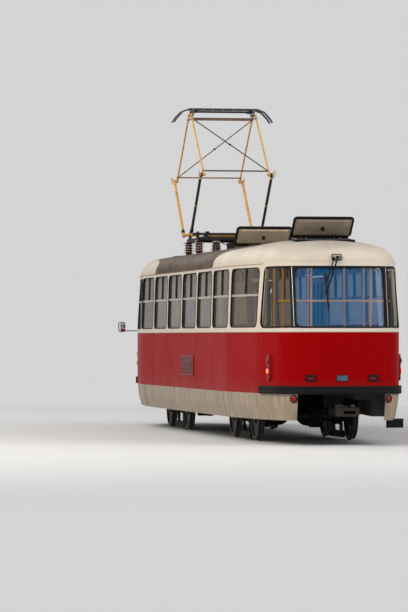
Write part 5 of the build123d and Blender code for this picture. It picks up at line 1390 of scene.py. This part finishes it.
# Stage, light and camera
stage = {"lens": 208, "sensor": 36, "place": (-57.64, 10.645, 1.591), "bearing": 9.63, "rise": 0.507,
         "backdrop": (0.66, 0.66, 0.66), "sky": (0.8, 0.83, 0.88), "skyStrength": 0.62, "fadeFrom": 9,
         "fadeTo": 26}
camera = bpy.data.cameras.new("camera")
camera.lens = stage["lens"]
camera.sensor_width = stage["sensor"]
camera.clip_end = 400
view = bpy.data.objects.new("camera", camera)
bpy.context.scene.collection.objects.link(view)
bearing, rise = math.radians(stage["bearing"]), math.radians(stage["rise"])
view.location = stage["place"]
ahead = Vector((math.cos(bearing), -math.sin(bearing), math.tan(rise)))
view.rotation_euler = ahead.to_track_quat("-Z", "Y").to_euler()
bpy.context.scene.camera = view


def showBackdrop(tree, shader, backdrop, output, share=None):
    # rays that see the pale backdrop; all others take the studio light
    rays = addNode(tree, "LightPath", {}).outputs
    seen = sums(tree, "MAXIMUM", rays["Is Camera Ray"], rays["Is Glossy Ray"])
    seen = sums(tree, "MAXIMUM", seen, rays["Is Transmission Ray"])
    if share:
        seen = sums(tree, "MULTIPLY", share, seen)
    tree.links.new(wire(tree, "MixShader", {0: seen, 1: shader, 2: backdrop}), output)


# far from the car the floor turns into the same pale tone as the backdrop
floorMat = material("floorPale", (0.62, 0.61, 0.59), 0.85, 0.06, 0.6, grain=0.05)
tree = floorMat.node_tree
coords = tree.nodes["Texture Coordinate"].outputs["Object"]
away = addNode(tree, "VectorMath", {0: coords}, operation="LENGTH").outputs["Value"]
fade = wire(tree, "MapRange", {"Value": away, "From Min": stage["fadeFrom"], "From Max": stage["fadeTo"]})
pale = wire(tree, "Emission", {"Color": stage["backdrop"]})
showBackdrop(tree, tree.nodes["Principled BSDF"].outputs["BSDF"], pale,
             tree.nodes["Material Output"].inputs["Surface"], fade)
bm = bmesh.new()
bmesh.ops.create_grid(bm, x_segments=4, y_segments=4, size=160)
mesh = bpy.data.meshes.new("studioFloor")
bm.to_mesh(mesh)
bm.free()
studioFloor = bpy.data.objects.new("studioFloor", mesh)
mesh.materials.append(floorMat)
bpy.context.scene.collection.objects.link(studioFloor)
studioFloor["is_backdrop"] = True

world = bpy.data.worlds.new("studio")
world.use_nodes = True
tree = world.node_tree
sky = tree.nodes["Background"]
sky.inputs["Color"].default_value = (*stage["sky"], 1)
sky.inputs["Strength"].default_value = stage["skyStrength"]
backdrop = wire(tree, "Background", {"Color": stage["backdrop"]})
showBackdrop(tree, sky.outputs["Background"], backdrop, tree.nodes["World Output"].inputs["Surface"])
bpy.context.scene.world = world

# place, target, size, power and colour of each light
lights = {"keyLight": ((-14, 16, 13), (-1, 0, 1.5), (14, 9), 3600, (1, 0.96, 0.9)),
          "backLight": ((-16, -12, 11), (-3, 0, 1.5), (12, 8), 1700, (1, 1, 1)),
          "farLight": ((16, 9, 14), (3, 0, 2), (14, 9), 1600, (1, 1, 1))}
for name, (place, target, size, power, colour) in lights.items():
    lamp = bpy.data.lights.new(name, "AREA")
    lamp.shape = "RECTANGLE"
    lamp.size, lamp.size_y = size
    lamp.energy = power
    lamp.color = colour
    obj = bpy.data.objects.new(name, lamp)
    obj.location = place
    obj.rotation_euler = (Vector(target) - Vector(place)).to_track_quat("-Z", "Y").to_euler()
    bpy.context.scene.collection.objects.link(obj)
print("stage set")

bpy.context.scene.view_settings.view_transform = "Standard"
size = {"cad": [list(c) for c in cadBox], "visual": [list(c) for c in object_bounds()]}
